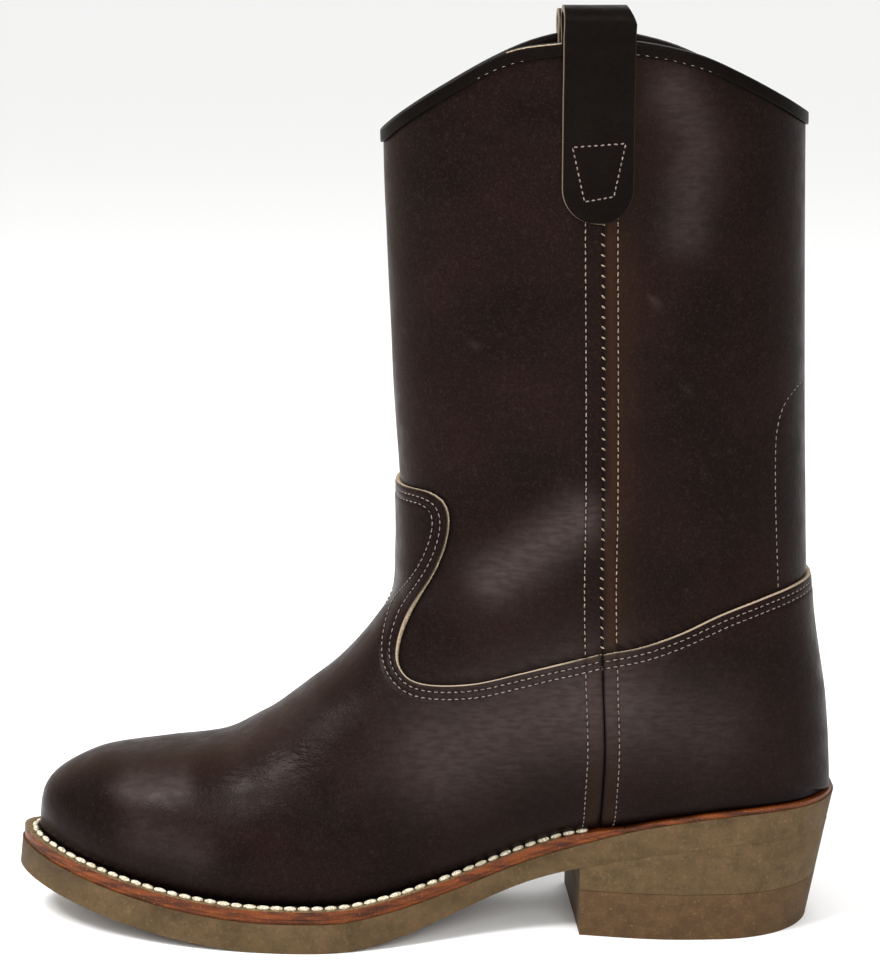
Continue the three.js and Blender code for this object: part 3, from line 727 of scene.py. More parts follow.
def sheet(
    points: np.ndarray, outward: np.ndarray, layers: dict[str, np.ndarray] | None = None,
) -> BMesh:
    """Starts a piece from a flat grid and lays it over a grid of places.

    Args:
        points: Places in millimetres, rows by columns.
        outward: The direction that the faces look in at the middle of the grid.
        layers: Values to keep with each place, by name.

    Returns:
        The mesh, with doubled places merged and its faces looking out.
    """
    rows, cols = points.shape[:2]
    mesh = bmesh.new()
    bmesh.ops.create_grid(mesh, x_segments=cols - 1, y_segments=rows - 1, size=1.0)
    named = {name: mesh.verts.layers.float.new(name) for name in layers or {}}
    for vert in mesh.verts:
        col = round((vert.co.x + 1) / 2 * (cols - 1))
        row = round((vert.co.y + 1) / 2 * (rows - 1))
        vert.co = points[row, col]
        for name, layer in named.items():
            vert[layer] = layers[name][row, col]
    bmesh.ops.remove_doubles(mesh, verts=mesh.verts, dist=0.005)
    mesh.normal_update()
    middle = Vector(points[rows // 2, cols // 2])
    nearest = min(mesh.faces, key=lambda face: (face.calc_center_median() - middle).length_squared)
    if nearest.normal.dot(Vector(outward)) < 0:
        bmesh.ops.reverse_faces(mesh, faces=mesh.faces)
    return mesh


def score(mesh: BMesh, name: str, level: float) -> None:
    """Cuts an edge loop into a mesh where one of its layers has a given value.

    Args:
        mesh: The mesh.
        name: The layer that is read.
        level: Its value along the new loop.
    """
    layer = mesh.verts.layers.float[name]
    others = [mesh.verts.layers.float[other] for other in mesh.verts.layers.float.keys()]
    fresh: set[BMVert] = set()
    for vert in mesh.verts:
        if abs(vert[layer] - level) < 0.03:
            vert[layer] = level
    for edge in list(mesh.edges):
        start, end = edge.verts
        low, high = start[layer] - level, end[layer] - level
        if low * high >= 0:
            if abs(low) < 1e-9:
                fresh.add(start)
            continue
        share = low / (low - high)
        values = [start[other] + (end[other] - start[other]) * share for other in others]
        _, vert = bmesh.utils.edge_split(edge, start, share)
        for other, value in zip(others, values):
            vert[other] = value
        vert[layer] = level
        fresh.add(vert)
    for face in {face for vert in fresh for face in vert.link_faces}:
        met = [vert for vert in face.verts if vert in fresh]
        if len(met) == 2 and not any(met[1] in edge.verts for edge in met[0].link_edges):
            bmesh.utils.face_split(face, met[0], met[1])


def trim(mesh: BMesh, name: str, level: float, keep_below: bool = True) -> None:
    """Cuts a mesh where a layer has a given value and deletes what lies beyond.

    Args:
        mesh: The mesh.
        name: The layer that is read.
        level: Its value along the cut.
        keep_below: Whether the part with lower values stays.
    """
    score(mesh, name, level)
    layer = mesh.verts.layers.float[name]
    sign = 1 if keep_below else -1
    beyond = [
        face for face in mesh.faces
        if sign * sum(vert[layer] - level for vert in face.verts) > 0
    ]
    bmesh.ops.delete(mesh, geom=beyond, context="FACES")


def shift_along_normals(mesh: BMesh, amount: Callable[[BMVert], float]) -> None:
    """Moves each vertex along its normal by what a function of it says.

    Args:
        mesh: The mesh.
        amount: Gives the distance outwards for a vertex.
    """
    bmesh.ops.dissolve_degenerate(mesh, dist=0.02, edges=mesh.edges)
    many = [face for face in mesh.faces if len(face.verts) > 4]
    bmesh.ops.triangulate(mesh, faces=many, quad_method="BEAUTY", ngon_method="BEAUTY")
    mesh.normal_update()
    moves = [(vert, vert.normal * amount(vert)) for vert in mesh.verts]
    for vert, move in moves:
        vert.co += move


def iso_lines(grid: np.ndarray, values: np.ndarray, level: float) -> list[np.ndarray]:
    """Traces the lines over a grid where its values pass a level.

    Args:
        grid: Any quantities at each grid place, rows by columns by quantities.
        values: The value at each grid place.
        level: The value to trace.

    Returns:
        Polylines of those quantities, the longest first.
    """
    above = values - level
    spots: dict[tuple[int, int, int], np.ndarray] = {}
    links: dict[tuple[int, int, int], list] = {}

    def spot(row: int, col: int, kind: int) -> tuple[int, int, int] | None:
        """Notes where the line crosses one edge of the grid.

        Args:
            row: Row of the edge's start.
            col: Column of its start.
            kind: 0 along the row, 1 along the column.

        Returns:
            The edge's key, or none where nothing crosses it.
        """
        far = (row, col + 1) if kind == 0 else (row + 1, col)
        low, high = above[row, col], above[far]
        if (low > 0) == (high > 0):
            return None
        key = (row, col, kind)
        if key not in spots:
            spots[key] = grid[row, col] + (grid[far] - grid[row, col]) * (low / (low - high))
        return key

    sign = above > 0
    mixed = sign[:-1, :-1].astype(int) + sign[1:, :-1] + sign[:-1, 1:] + sign[1:, 1:]
    for row, col in np.argwhere((mixed > 0) & (mixed < 4)):
        row, col = int(row), int(col)
        found = [spot(row, col, 0), spot(row + 1, col, 0), spot(row, col, 1), spot(row, col + 1, 1)]
        met = [key for key in found if key]
        if len(met) == 2:
            links.setdefault(met[0], []).append(met[1])
            links.setdefault(met[1], []).append(met[0])
    lines, used = [], set()
    for key in sorted(links, key=lambda item: len(links[item])):
        if key in used:
            continue
        chain = [key]
        used.add(key)
        while True:
            onward = [item for item in links[chain[-1]] if item not in used]
            if not onward:
                break
            chain.append(onward[0])
            used.add(onward[0])
        if len(chain) > 2:
            lines.append(np.array([spots[item] for item in chain]))
    return sorted(lines, key=len, reverse=True)


def soften(line: np.ndarray, passes: int = 4) -> np.ndarray:
    """Evens out the small steps in a traced line.

    Args:
        line: The places along it.
        passes: How often it is evened.

    Returns:
        The evened places.
    """
    line = line.copy()
    for _ in range(passes):
        line[1:-1] = (line[:-2] + 2 * line[1:-1] + line[2:]) / 4
    return line


def even_places(line: np.ndarray, pitch: float) -> np.ndarray:
    """Returns places at even steps along a line, its first three columns being where it runs.

    Args:
        line: The places along it.
        pitch: The step, in millimetres.

    Returns:
        The places at even steps.
    """
    spans = np.linalg.norm(np.diff(line[:, :3], axis=0), axis=1)
    length = np.concatenate([[0.0], np.cumsum(spans)])
    count = max(2, int(length[-1] / pitch) + 1)
    at = np.linspace(0, length[-1], count)
    return np.column_stack([np.interp(at, length, line[:, k]) for k in range(line.shape[1])])


@dataclass(frozen=True)
class Thread:
    """One kind of stitch: how long, wide and high it stands, and how far apart."""

    pitch: float
    length: float
    width: float
    height: float
    lean: float = 0.0
    wander: float = 0.12
    facets: int = 6


def sew(mesh: BMesh, line: np.ndarray, thread: Thread, lift: float = 0.0, seed: int = 1) -> None:
    """Adds a row of stitches along a line.

    Args:
        mesh: The mesh that the stitches are added to.
        line: Places and outward normals along the row, six columns, in millimetres.
        thread: The kind of stitch.
        lift: How far the stitches' middles stand over the line.
        seed: Start of the row's small irregularities.
    """
    chance = random.Random(seed)
    spots = even_places(line, thread.pitch)
    for index in range(len(spots) - 1):
        start, end = Vector(spots[index, :3]), Vector(spots[index + 1, :3])
        out = Vector(spots[index, 3:6] + spots[index + 1, 3:6]).normalized()
        run = (end - start).normalized()
        over = out.cross(run).normalized()
        out = run.cross(over).normalized()
        lean = thread.lean + chance.uniform(-1, 1) * thread.wander
        cos, sin = math.cos(lean), math.sin(lean)
        run, over = run * cos + over * sin, over * cos - run * sin
        size = 1 + chance.uniform(-0.1, 0.08)
        axes = run * thread.length / 2 * size, over * thread.width / 2, out * thread.height / 2
        spin = Matrix(axes).transposed()
        matrix = Matrix.Translation((start + end) / 2 + out * lift) @ spin.to_4x4()
        bmesh.ops.create_uvsphere(
            mesh, u_segments=thread.facets, v_segments=thread.facets - 1, radius=1.0,
            matrix=matrix @ Matrix.Rotation(math.pi / 2, 4, "Y"),
        )


def finish_piece(
    mesh: BMesh, name: str, slot: str, *materials: bpy.types.Material,
) -> bpy.types.Object:
    """Turns a mesh in millimetres into a shown piece that rides on the boot.

    Args:
        mesh: The finished mesh, which is freed.
        name: The piece's name.
        slot: The name of a material slot; not used.
        materials: Its materials, in the order of the faces' indices.

    Returns:
        The new object.
    """
    bmesh.ops.scale(mesh, vec=(MM, MM, MM), verts=mesh.verts)
    for face in mesh.faces:
        face.smooth = True
    data = bpy.data.meshes.new(name)
    mesh.to_mesh(data)
    mesh.free()
    piece = bpy.data.objects.new(name, data)
    bpy.context.scene.collection.objects.link(piece)
    for material in materials:
        data.materials.append(material)
    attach(piece, "root")
    log.info("%s: %d faces", name, len(data.polygons))
    return piece


def thicken(piece: bpy.types.Object, thickness: float, inside: int, rim: int) -> None:
    """Gives a skin its thickness inwards.

    Args:
        piece: The skin.
        thickness: The wall, in millimetres.
        inside: How many materials further the inner face's material stands.
        rim: The same for the cut edge.
    """
    wall = piece.modifiers.new("wall", "SOLIDIFY")
    wall.thickness = thickness * MM
    wall.offset = -1.0
    wall.use_even_offset = False
    wall.material_offset = inside
    wall.material_offset_rim = rim


def round_corners(
    mesh: BMesh, radius: float, sharper_than: float = 40.0, segments: int = 3,
) -> None:
    """Rounds the sharp edges of a closed mesh, except those between faces that are nearly level.

    Args:
        mesh: The mesh.
        radius: The rounding, in millimetres.
        sharper_than: The least angle, in degrees, of an edge that is rounded.
        segments: Steps round the edge.
    """
    limit = math.radians(sharper_than)
    inner = (edge for edge in mesh.edges if edge.is_manifold)
    sharp = [edge for edge in inner if edge.calc_face_angle(0) > limit]
    bmesh.ops.bevel(
        mesh, geom=sharp, offset=radius, offset_type="OFFSET", affect="EDGES", segments=segments,
        profile=0.5, material=-1, clamp_overlap=True,
    )


def linear(code: str) -> tuple[float, float, float, float]:
    """Turns an sRGB hex colour into linear light.

    Args:
        code: Six hex digits.

    Returns:
        Red, green, blue and an alpha of 1.
    """
    channels = [int(code[k:k + 2], 16) / 255 for k in (0, 2, 4)]
    light = [c / 12.92 if c <= 0.04045 else ((c + 0.055) / 1.055) ** 2.4 for c in channels]
    return light[0], light[1], light[2], 1.0


@dataclass(frozen=True)
class Grain:
    """A cloudy pattern with features of a real size in mm, squeezed along each axis."""

    size: float
    detail: float = 3.0
    squeeze: tuple[float, float, float] | None = None


@dataclass(frozen=True)
class Stain:
    """A colour over what lies under it: by a grain, by a mark kept in the mesh, or by both."""

    colour: str
    grain: Grain | None = None
    between: tuple[float, float] | None = None
    share: tuple[float, float] = (0.0, 1.0)
    mark: str = ""


@dataclass(frozen=True)
class Relief:
    """A raised grain, its height in millimetres, over all or where a mark kept in the mesh says."""

    grain: Grain
    height: float
    mark: str = ""


class MaterialTree:
    """The nodes of one new material."""

    def __init__(self, name: str) -> None:
        """Starts an empty material with the object's own coordinates.

        Args:
            name: The material's name.
        """
        self.material = bpy.data.materials.new(name)
        self.material.use_nodes = True
        self.material.node_tree.nodes.clear()
        self.where = self.add("TexCoord").outputs["Object"]
        self.grains: dict[Grain, bpy.types.NodeSocket] = {}

    def add(
        self, kind: str, links: dict[str | int, Any] | None = None, **settings: Any,
    ) -> bpy.types.Node:
        """Adds a node with its settings and links.

        Args:
            kind: The node's type, without the ShaderNode in front.
            links: Input name or number to a value, or to the output that feeds it.
            **settings: The node's own properties.

        Returns:
            The new node.
        """
        tree = self.material.node_tree
        node = tree.nodes.new("ShaderNode" + kind)
        for name, value in settings.items():
            setattr(node, name, value)
        for key, value in (links or {}).items():
            if isinstance(value, bpy.types.NodeSocket):
                tree.links.new(value, node.inputs[key])
            else:
                node.inputs[key].default_value = value
        return node

    def strength(
        self, grain: Grain | None, mark: str = "",
        between: tuple[float, float] | None = None, share: tuple[float, float] = (0.0, 1.0),
    ) -> bpy.types.NodeSocket:
        """Works out how strong a grain is at each place, times a mark kept in the mesh.

        Args:
            grain: The pattern, or none for the mark alone.
            mark: The mark's name, or nothing for the grain alone.
            between: The values of the grain between which its strength rises, or none for all.
            share: The strength at those two values.

        Returns:
            The output that holds the strength.
        """
        parts = []
        if grain and grain not in self.grains:
            where = self.where
            if grain.squeeze:
                inputs = {"Vector": where, "Scale": grain.squeeze}
                where = self.add("Mapping", inputs).outputs["Vector"]
            inputs = {"Vector": where, "Scale": 1 / (grain.size * MM), "Detail": grain.detail}
            self.grains[grain] = self.add("TexNoise", inputs).outputs["Fac"]
        if grain:
            parts.append(self.grains[grain])
        if grain and between:
            inputs = {"Value": parts.pop(), "From Min": between[0], "From Max": between[1]}
            inputs.update({"To Min": share[0], "To Max": share[1]})
            eased = self.add("MapRange", inputs, interpolation_type="SMOOTHSTEP")
            parts.append(eased.outputs["Result"])
        if mark:
            parts.append(self.add("Attribute", attribute_name=mark).outputs["Fac"])
        if len(parts) == 1:
            return parts[0]
        return self.add("Math", {0: parts[0], 1: parts[1]}, operation="MULTIPLY").outputs[0]


@dataclass(frozen=True)
class Finish:
    """A surface finish: a ground colour, stains over it, a relief and a shine."""

    name: str
    ground: str = "FFFFFF"

    def stains(self) -> tuple[Stain, ...]:
        """Returns the stains over the ground, from the lowest up."""
        return ()

    def reliefs(self) -> tuple[Relief, ...]:
        """Returns the raised grains, from the coarsest to the finest."""
        return ()

    def shine(self, tree: MaterialTree) -> dict[str, Any]:
        """Returns the shader's inputs for gloss."""
        return {"Roughness": 0.7}

    def material(self) -> bpy.types.Material:
        """Builds the material.

        Returns:
            The new material.
        """
        tree = MaterialTree(self.name)
        colour = linear(self.ground)
        for stain in self.stains():
            share = tree.strength(stain.grain, stain.mark, stain.between, stain.share)
            inputs = {0: share, 6: colour, 7: linear(stain.colour)}
            colour = tree.add("Mix", inputs, data_type="RGBA").outputs[2]
        surface = {"Base Color": colour, **self.shine(tree)}
        for relief in self.reliefs():
            height = tree.strength(relief.grain, relief.mark)
            raised = {"Height": height, "Distance": relief.height * MM, "Strength": 1.0}
            if "Normal" in surface:
                raised["Normal"] = surface["Normal"]
            surface["Normal"] = tree.add("Bump", raised).outputs["Normal"]
        shader = tree.add("BsdfPrincipled", surface)
        tree.add("OutputMaterial", {"Surface": shader.outputs[0]})
        return tree.material


@dataclass(frozen=True)
class WaxedLeather(Finish):
    """Oil-tanned cowhide, drum-dyed and waxed.

    To the eye: nearly black brown, clouded, with fine dark pores and a soft broad sheen. Painted
    on it: paler sheen patches, partly also wear where it flexes; shade low by the sole, in the
    seams and beside the overlays; a browner tint on faces turned up or forward. The pores are drawn
    at
    0.85 mm, about twice their real size, which is as coarse as they need to show.
    """

    ground: str = "0D0605"
    warm: str = "160A08"
    pale: str = "2C201B"
    pore_size: float = 0.85
    specular: float = 0.07
    roughness: tuple[float, float] = (0.31, 0.44)

    HIDE = Grain(38.0, 4.0)
    MOTTLE = Grain(2.6)
    FOLD = Grain(1.5, 2.0, (0.3, 0.3, 1.0))
    PATCH = Grain(9.0)
    SWELL = Grain(14.0, 2.0)

    def stains(self) -> tuple[Stain, ...]:
        """Lists the clouds, the pores, the painted sheen (partly wear), the tints, the painted
        shade and the scuffs and cut edges, from the lowest up.

        Returns:
            The stains.
        """
        pores = Grain(self.pore_size)
        return (
            Stain(self.warm, self.HIDE, (0.35, 0.7)),
            Stain(self.pale, pores, (0.5, 0.78), (0.0, 0.4)),
            Stain(self.pale, self.MOTTLE, (0.5, 0.75), (0.0, 0.14)),
            Stain("060303", pores, (0.26, 0.46), (0.7, 0.0)),
            # Painted sheen: paler grey patches for the highlights on toe, instep, ankle, counter
            # and shaft, partly also wear
            Stain("483E3C", self.FOLD, (0.3, 0.7), (0.6, 1.0), mark="painted_sheen_and_wear"),
            # Browner tone beside the side seam, and a painted tint on faces turned up or forward
            # for how the light falls
            Stain("2E1C10", mark="warm"),
            # Painted shade: near black low by the sole, in the seams and rows and beside the
            # overlays' edges
            Stain("050303", mark="painted_shade"),
            Stain("9C8B76", mark="cut"),
        )

    def reliefs(self) -> tuple[Relief, ...]:
        """Lists the swells of the hide, its folds, its mottle and its pores.

        Returns:
            The reliefs.
        """
        return (
            Relief(self.SWELL, 0.28), Relief(self.FOLD, 0.34, mark="wrinkle"),
            Relief(self.MOTTLE, 0.1), Relief(Grain(self.pore_size), 0.08),
        )

    def shine(self, tree: MaterialTree) -> dict[str, Any]:
        """Gives a low, warm gloss that changes from patch to patch.

        Args:
            tree: The material's nodes.

        Returns:
            The shader's inputs.
        """
        rough = tree.strength(self.PATCH, between=(0.3, 0.7), share=self.roughness)
        tint = linear("F2E0DA")
        return {"Roughness": rough, "Specular IOR Level": self.specular, "Specular Tint": tint}


@dataclass(frozen=True)
class CutLeather(Finish):
    """Vegetable or chrome-tanned leather, knife-cut or left with its flesh side out.

    To the eye: pale, matt and hairy, in short fibres, with darker patches.
    """

    ground: str = "76644F"
    light: str = "B3A086"
    fibre: float = 0.7

    PATCH = Grain(16.0, 2.0)

    def stains(self) -> tuple[Stain, ...]:
        """Lists the fibres, the patches and the shade beside a seam.

        Returns:
            The stains.
        """
        return (
            Stain(self.light, Grain(self.fibre), (0.3, 0.7)),
            Stain(self.ground, self.PATCH, (0.45, 0.75), (0.0, 0.4)),
            Stain("0A0705", mark="shade"),
        )

    def reliefs(self) -> tuple[Relief, ...]:
        """Returns the fibres' relief."""
        return (Relief(Grain(self.fibre), 0.12),)

    def shine(self, tree: MaterialTree) -> dict[str, Any]:
        """Returns a matt surface."""
        return {"Roughness": 0.85}


@dataclass(frozen=True)
class BurnishedEdge(Finish):
    """Sole leather, trimmed, dyed red brown and rubbed with hot wax.

    To the eye: streaks along the edge, a few pale fibres, half glossy.
    """

    ground: str = "361505"
    light: str = "6E340D"
    scuff: str = "B27A42"

    STREAK = Grain(5.0, 4.0, (0.35, 0.35, 2.2))
    FIBRE = Grain(0.8)

    def stains(self) -> tuple[Stain, ...]:
        """Lists the streaks, then pale and dark fibres.

        Returns:
            The stains.
        """
        return (
            Stain(self.light, self.STREAK, (0.32, 0.68)),
            Stain(self.scuff, self.FIBRE, (0.55, 0.8), (0.0, 0.35)),
            Stain("2A130A", self.FIBRE, (0.2, 0.42), (0.5, 0.0)),
        )

    def reliefs(self) -> tuple[Relief, ...]:
        """Returns the relief of streaks and fibres."""
        return Relief(self.STREAK, 0.12), Relief(self.FIBRE, 0.07)

    def shine(self, tree: MaterialTree) -> dict[str, Any]:
        """Returns a rubbed surface under a thin coat of wax."""
        coat = {"Coat Weight": 0.12, "Coat Roughness": 0.14}
        return {"Roughness": 0.45, "Specular IOR Level": 0.16, **coat}


@dataclass(frozen=True)
class CrepeRubber(Finish):
    """Natural crumb rubber, pressed in sheets and sanded at its side.

    To the eye: olive brown and matt, mottled with light and dark crumbs, faintly layered.
    """

    ground: str = "43331D"
    light: str = "56432A"
    crumb: float = 1.1
    layered: float = 0.35

    CLOUD = Grain(5.0, 4.0)
    SHEET = Grain(4.5, 2.0, (0.12, 0.12, 1.6))

    def stains(self) -> tuple[Stain, ...]:
        """Lists the clouds, the light and dark crumbs and the pressed sheets.

        Returns:
            The stains.
        """
        crumbs = Grain(self.crumb, 4.0)
        return (
            Stain(self.light, self.CLOUD, (0.15, 0.85)),
            Stain("7E6A42", crumbs, (0.55, 0.8), (0.0, 0.4)),
            Stain("2A2115", crumbs, (0.24, 0.44), (0.5, 0.0)),
            Stain(self.light, self.SHEET, (0.45, 0.75), (0.0, self.layered)),
        )

    def reliefs(self) -> tuple[Relief, ...]:
        """Returns the relief of clouds and crumbs."""
        return Relief(self.CLOUD, 0.25), Relief(Grain(self.crumb, 4.0), 0.14)

    def shine(self, tree: MaterialTree) -> dict[str, Any]:
        """Returns sanded rubber's dull surface."""
        return {"Roughness": 0.78, "Specular IOR Level": 0.25}


@dataclass(frozen=True)
class WaxedThread(Finish):
    """Linen or polyester thread, plied and drawn through wax.

    To the eye: fine bands of light and dark along each stitch. The plies are drawn at 0.5 to
    0.8 mm, coarser than real ones, so that they show.
    """

    ground: str = "8C7656"
    light: str = "CDBB98"
    ply: float = 0.7

    def stains(self) -> tuple[Stain, ...]:
        """Returns the light plies."""
        return (Stain(self.light, Grain(self.ply, 2.0), (0.35, 0.65)),)

    def reliefs(self) -> tuple[Relief, ...]:
        """Returns the relief of the plies."""
        return (Relief(Grain(self.ply, 2.0), 0.1),)

    def shine(self, tree: MaterialTree) -> dict[str, Any]:
        """Returns waxed thread's low gloss."""
        return {"Roughness": 0.6}


@dataclass(frozen=True)
class Finishes:
    """The materials of the boot."""

    upper: bpy.types.Material
    strap: bpy.types.Material
    raw: bpy.types.Material
    lining: bpy.types.Material
    welt: bpy.types.Material
    welt_top: bpy.types.Material
    crepe: bpy.types.Material
    toplift: bpy.types.Material
    insole: bpy.types.Material
    thread: bpy.types.Material
    dull_thread: bpy.types.Material
    welt_thread: bpy.types.Material

    @classmethod
    def build(cls) -> "Finishes":
        """Builds each material once.

        Returns:
            The boot's materials.
        """
        finishes = {
            # Near black and cloudy, with a broad sheen
            "upper": WaxedLeather("waxed_cowhide"),
            # Finer, smoother and blacker than the leg
            "strap": WaxedLeather(
                "smooth_strap_leather", ground="060403", warm="0C0806", pale="18110D",
                pore_size=0.6, specular=0.05, roughness=(0.34, 0.44),
            ),
            # The pale line along each overlay
            "raw": CutLeather("cut_leather_edge"),
            # Soft red-brown nap, seen at the collar
            "lining": CutLeather("flesh_side_lining", ground="3E2A1F", light="6A4A36", fibre=1.4),
            # The red-brown band round the sole
            "welt": BurnishedEdge("burnished_welt_edge"),
            # Undyed top of the welt, with painted shade towards the upper
            "welt_top": CutLeather("welt_upper_face", ground="4A3A22", light="8A7048", fibre=1.0),
            "crepe": CrepeRubber("crepe_rubber"),
            # Denser and browner than the crepe, with no sheets to see
            "toplift": CrepeRubber(
                "toplift_rubber", ground="3F2C17", light="523B22", crumb=0.9, layered=0.15,
            ),
            # Tan leather, matt, worn in patches
            "insole": CutLeather("insole_leather", ground="7D5B39", light="B08A5E", fibre=2.0),
            # Thin tan rows on the shaft
            "thread": WaxedThread("fine_tan_thread", ground="5C4C42", light="98866F", ply=0.5),
            # The same thread darkened by wax, on overlays, strap and topline
            "dull_thread": WaxedThread(
                "dull_brown_thread", ground="4C423C", light="84746A", ply=0.5,
            ),
            # Thick cream stitches, the brightest thing on the boot
            "welt_thread": WaxedThread(
                "heavy_cream_thread", ground="A9997B", light="E4DCC8", ply=0.8,
            ),
        }
        return cls(**{name: finish.material() for name, finish in finishes.items()})


@dataclass
class SeamLines:
    """Where the seams and cut edges of the upper run, in side view."""

    last: Last
    seam_points: tuple = (
        (93.2, 20.0), (93.0, 57.0), (92.8, 76.0), (93.6, 100.0), (94.5, 133.0),
        (94.4, 170.0), (94.8, 207.0), (95.4, 244.0), (95.8, 272.0), (96.0, 345.0),
    )
    stay_points: tuple = (
        (8.0, 212.0), (14.0, 210.5), (19.0, 208.6), (23.4, 205.5), (26.2, 202.5), (28.2, 198.0),
        (29.6, 190.0), (29.6, 180.0), (29.2, 165.0), (28.2, 147.0), (27.0, 124.0),
    )
    # Edges of the overlays, as shares of the sole's length and of the throat's height
    VAMP = (
        (0.306, 0.785), (0.351, 0.76), (0.398, 0.731), (0.446, 0.703), (0.493, 0.689),
        (0.522, 0.694), (0.536, 0.72), (0.5385, 0.759), (0.53, 0.825), (0.511, 0.915),
        (0.493, 0.995), (0.482, 1.067), (0.479, 1.127), (0.484, 1.167), (0.496, 1.187),
        (0.513, 1.194), (0.56, 1.19), (0.62, 1.19),
    )
    COUNTER = (
        (0.36, 0.755), (0.303, 0.785), (0.257, 0.804), (0.21, 0.838), (0.1625, 0.882),
        (0.115, 0.913), (0.08, 0.931), (0.045, 0.945), (-0.02, 0.96), (-0.1, 0.98),
    )

    def __post_init__(self) -> None:
        """Measures every grid place of the leather against the seams and edges."""
        scale = np.array([self.last.sole.length, self.last.throat_up])
        points = self.last.points
        back, up = back_of(points), points[..., 2]
        seam = curve_through(self.seam_points, 6)
        self.seam = back - np.interp(up, seam[:, 1], seam[:, 0])
        vamp = curve_through(np.array(self.VAMP) * scale, 10)
        ahead, behind = vamp[-1, 0] + 200, vamp[0, 0] - 60
        below = np.array([
            [ahead, vamp[-1, 1]], [ahead, -80], [behind, -80], [behind, vamp[0, 1] + 18],
        ])
        self.vamp = self._signed(vamp, np.concatenate([vamp, below]), back, up)
        counter = curve_through(np.array(self.COUNTER) * scale, 10)
        below = np.array([[counter[-1, 0], -80], [counter[0, 0], -80]])
        self.counter = self._signed(counter, np.concatenate([counter, below]), back, up)
        self.stay, _ = distance_to(curve_through(self.stay_points, 8), back, up)
        stay = np.array(self.stay_points)
        self.stay_side = back - np.interp(-up, -stay[:, 1], stay[:, 0])
        self.collar = self._below_collar(back, up, points[..., 1] - ORIGIN_ACROSS)

    @staticmethod
    def _signed(
        path: np.ndarray, outline: np.ndarray, back: np.ndarray, up: np.ndarray,
    ) -> np.ndarray:
        """Returns the distance from a cut edge, negative on the overlay's side of it."""
        distance, _ = distance_to(path, back, up)
        return np.where(inside_outline(outline, back, up), -distance, distance)

    def _below_collar(self, back: np.ndarray, up: np.ndarray, across: np.ndarray) -> np.ndarray:
        """Returns how far each place lies below the topline.

        Args:
            back: Distances forward of the sole's rearmost point.
            up: Heights.
            across: Distances across.

        Returns:
            Distances down from the topline.
        """
        last = self.last
        share = (last.collar_front_back - back) / (last.collar_front_back - last.collar_rear_back)
        level = last.collar_front_up + (last.collar_rear_up - last.collar_front_up) * share
        rise = np.where(across < 0, last.topline_rise(share, -1), last.topline_rise(share, 1))
        return level + last.collar_side_rise * rise - up


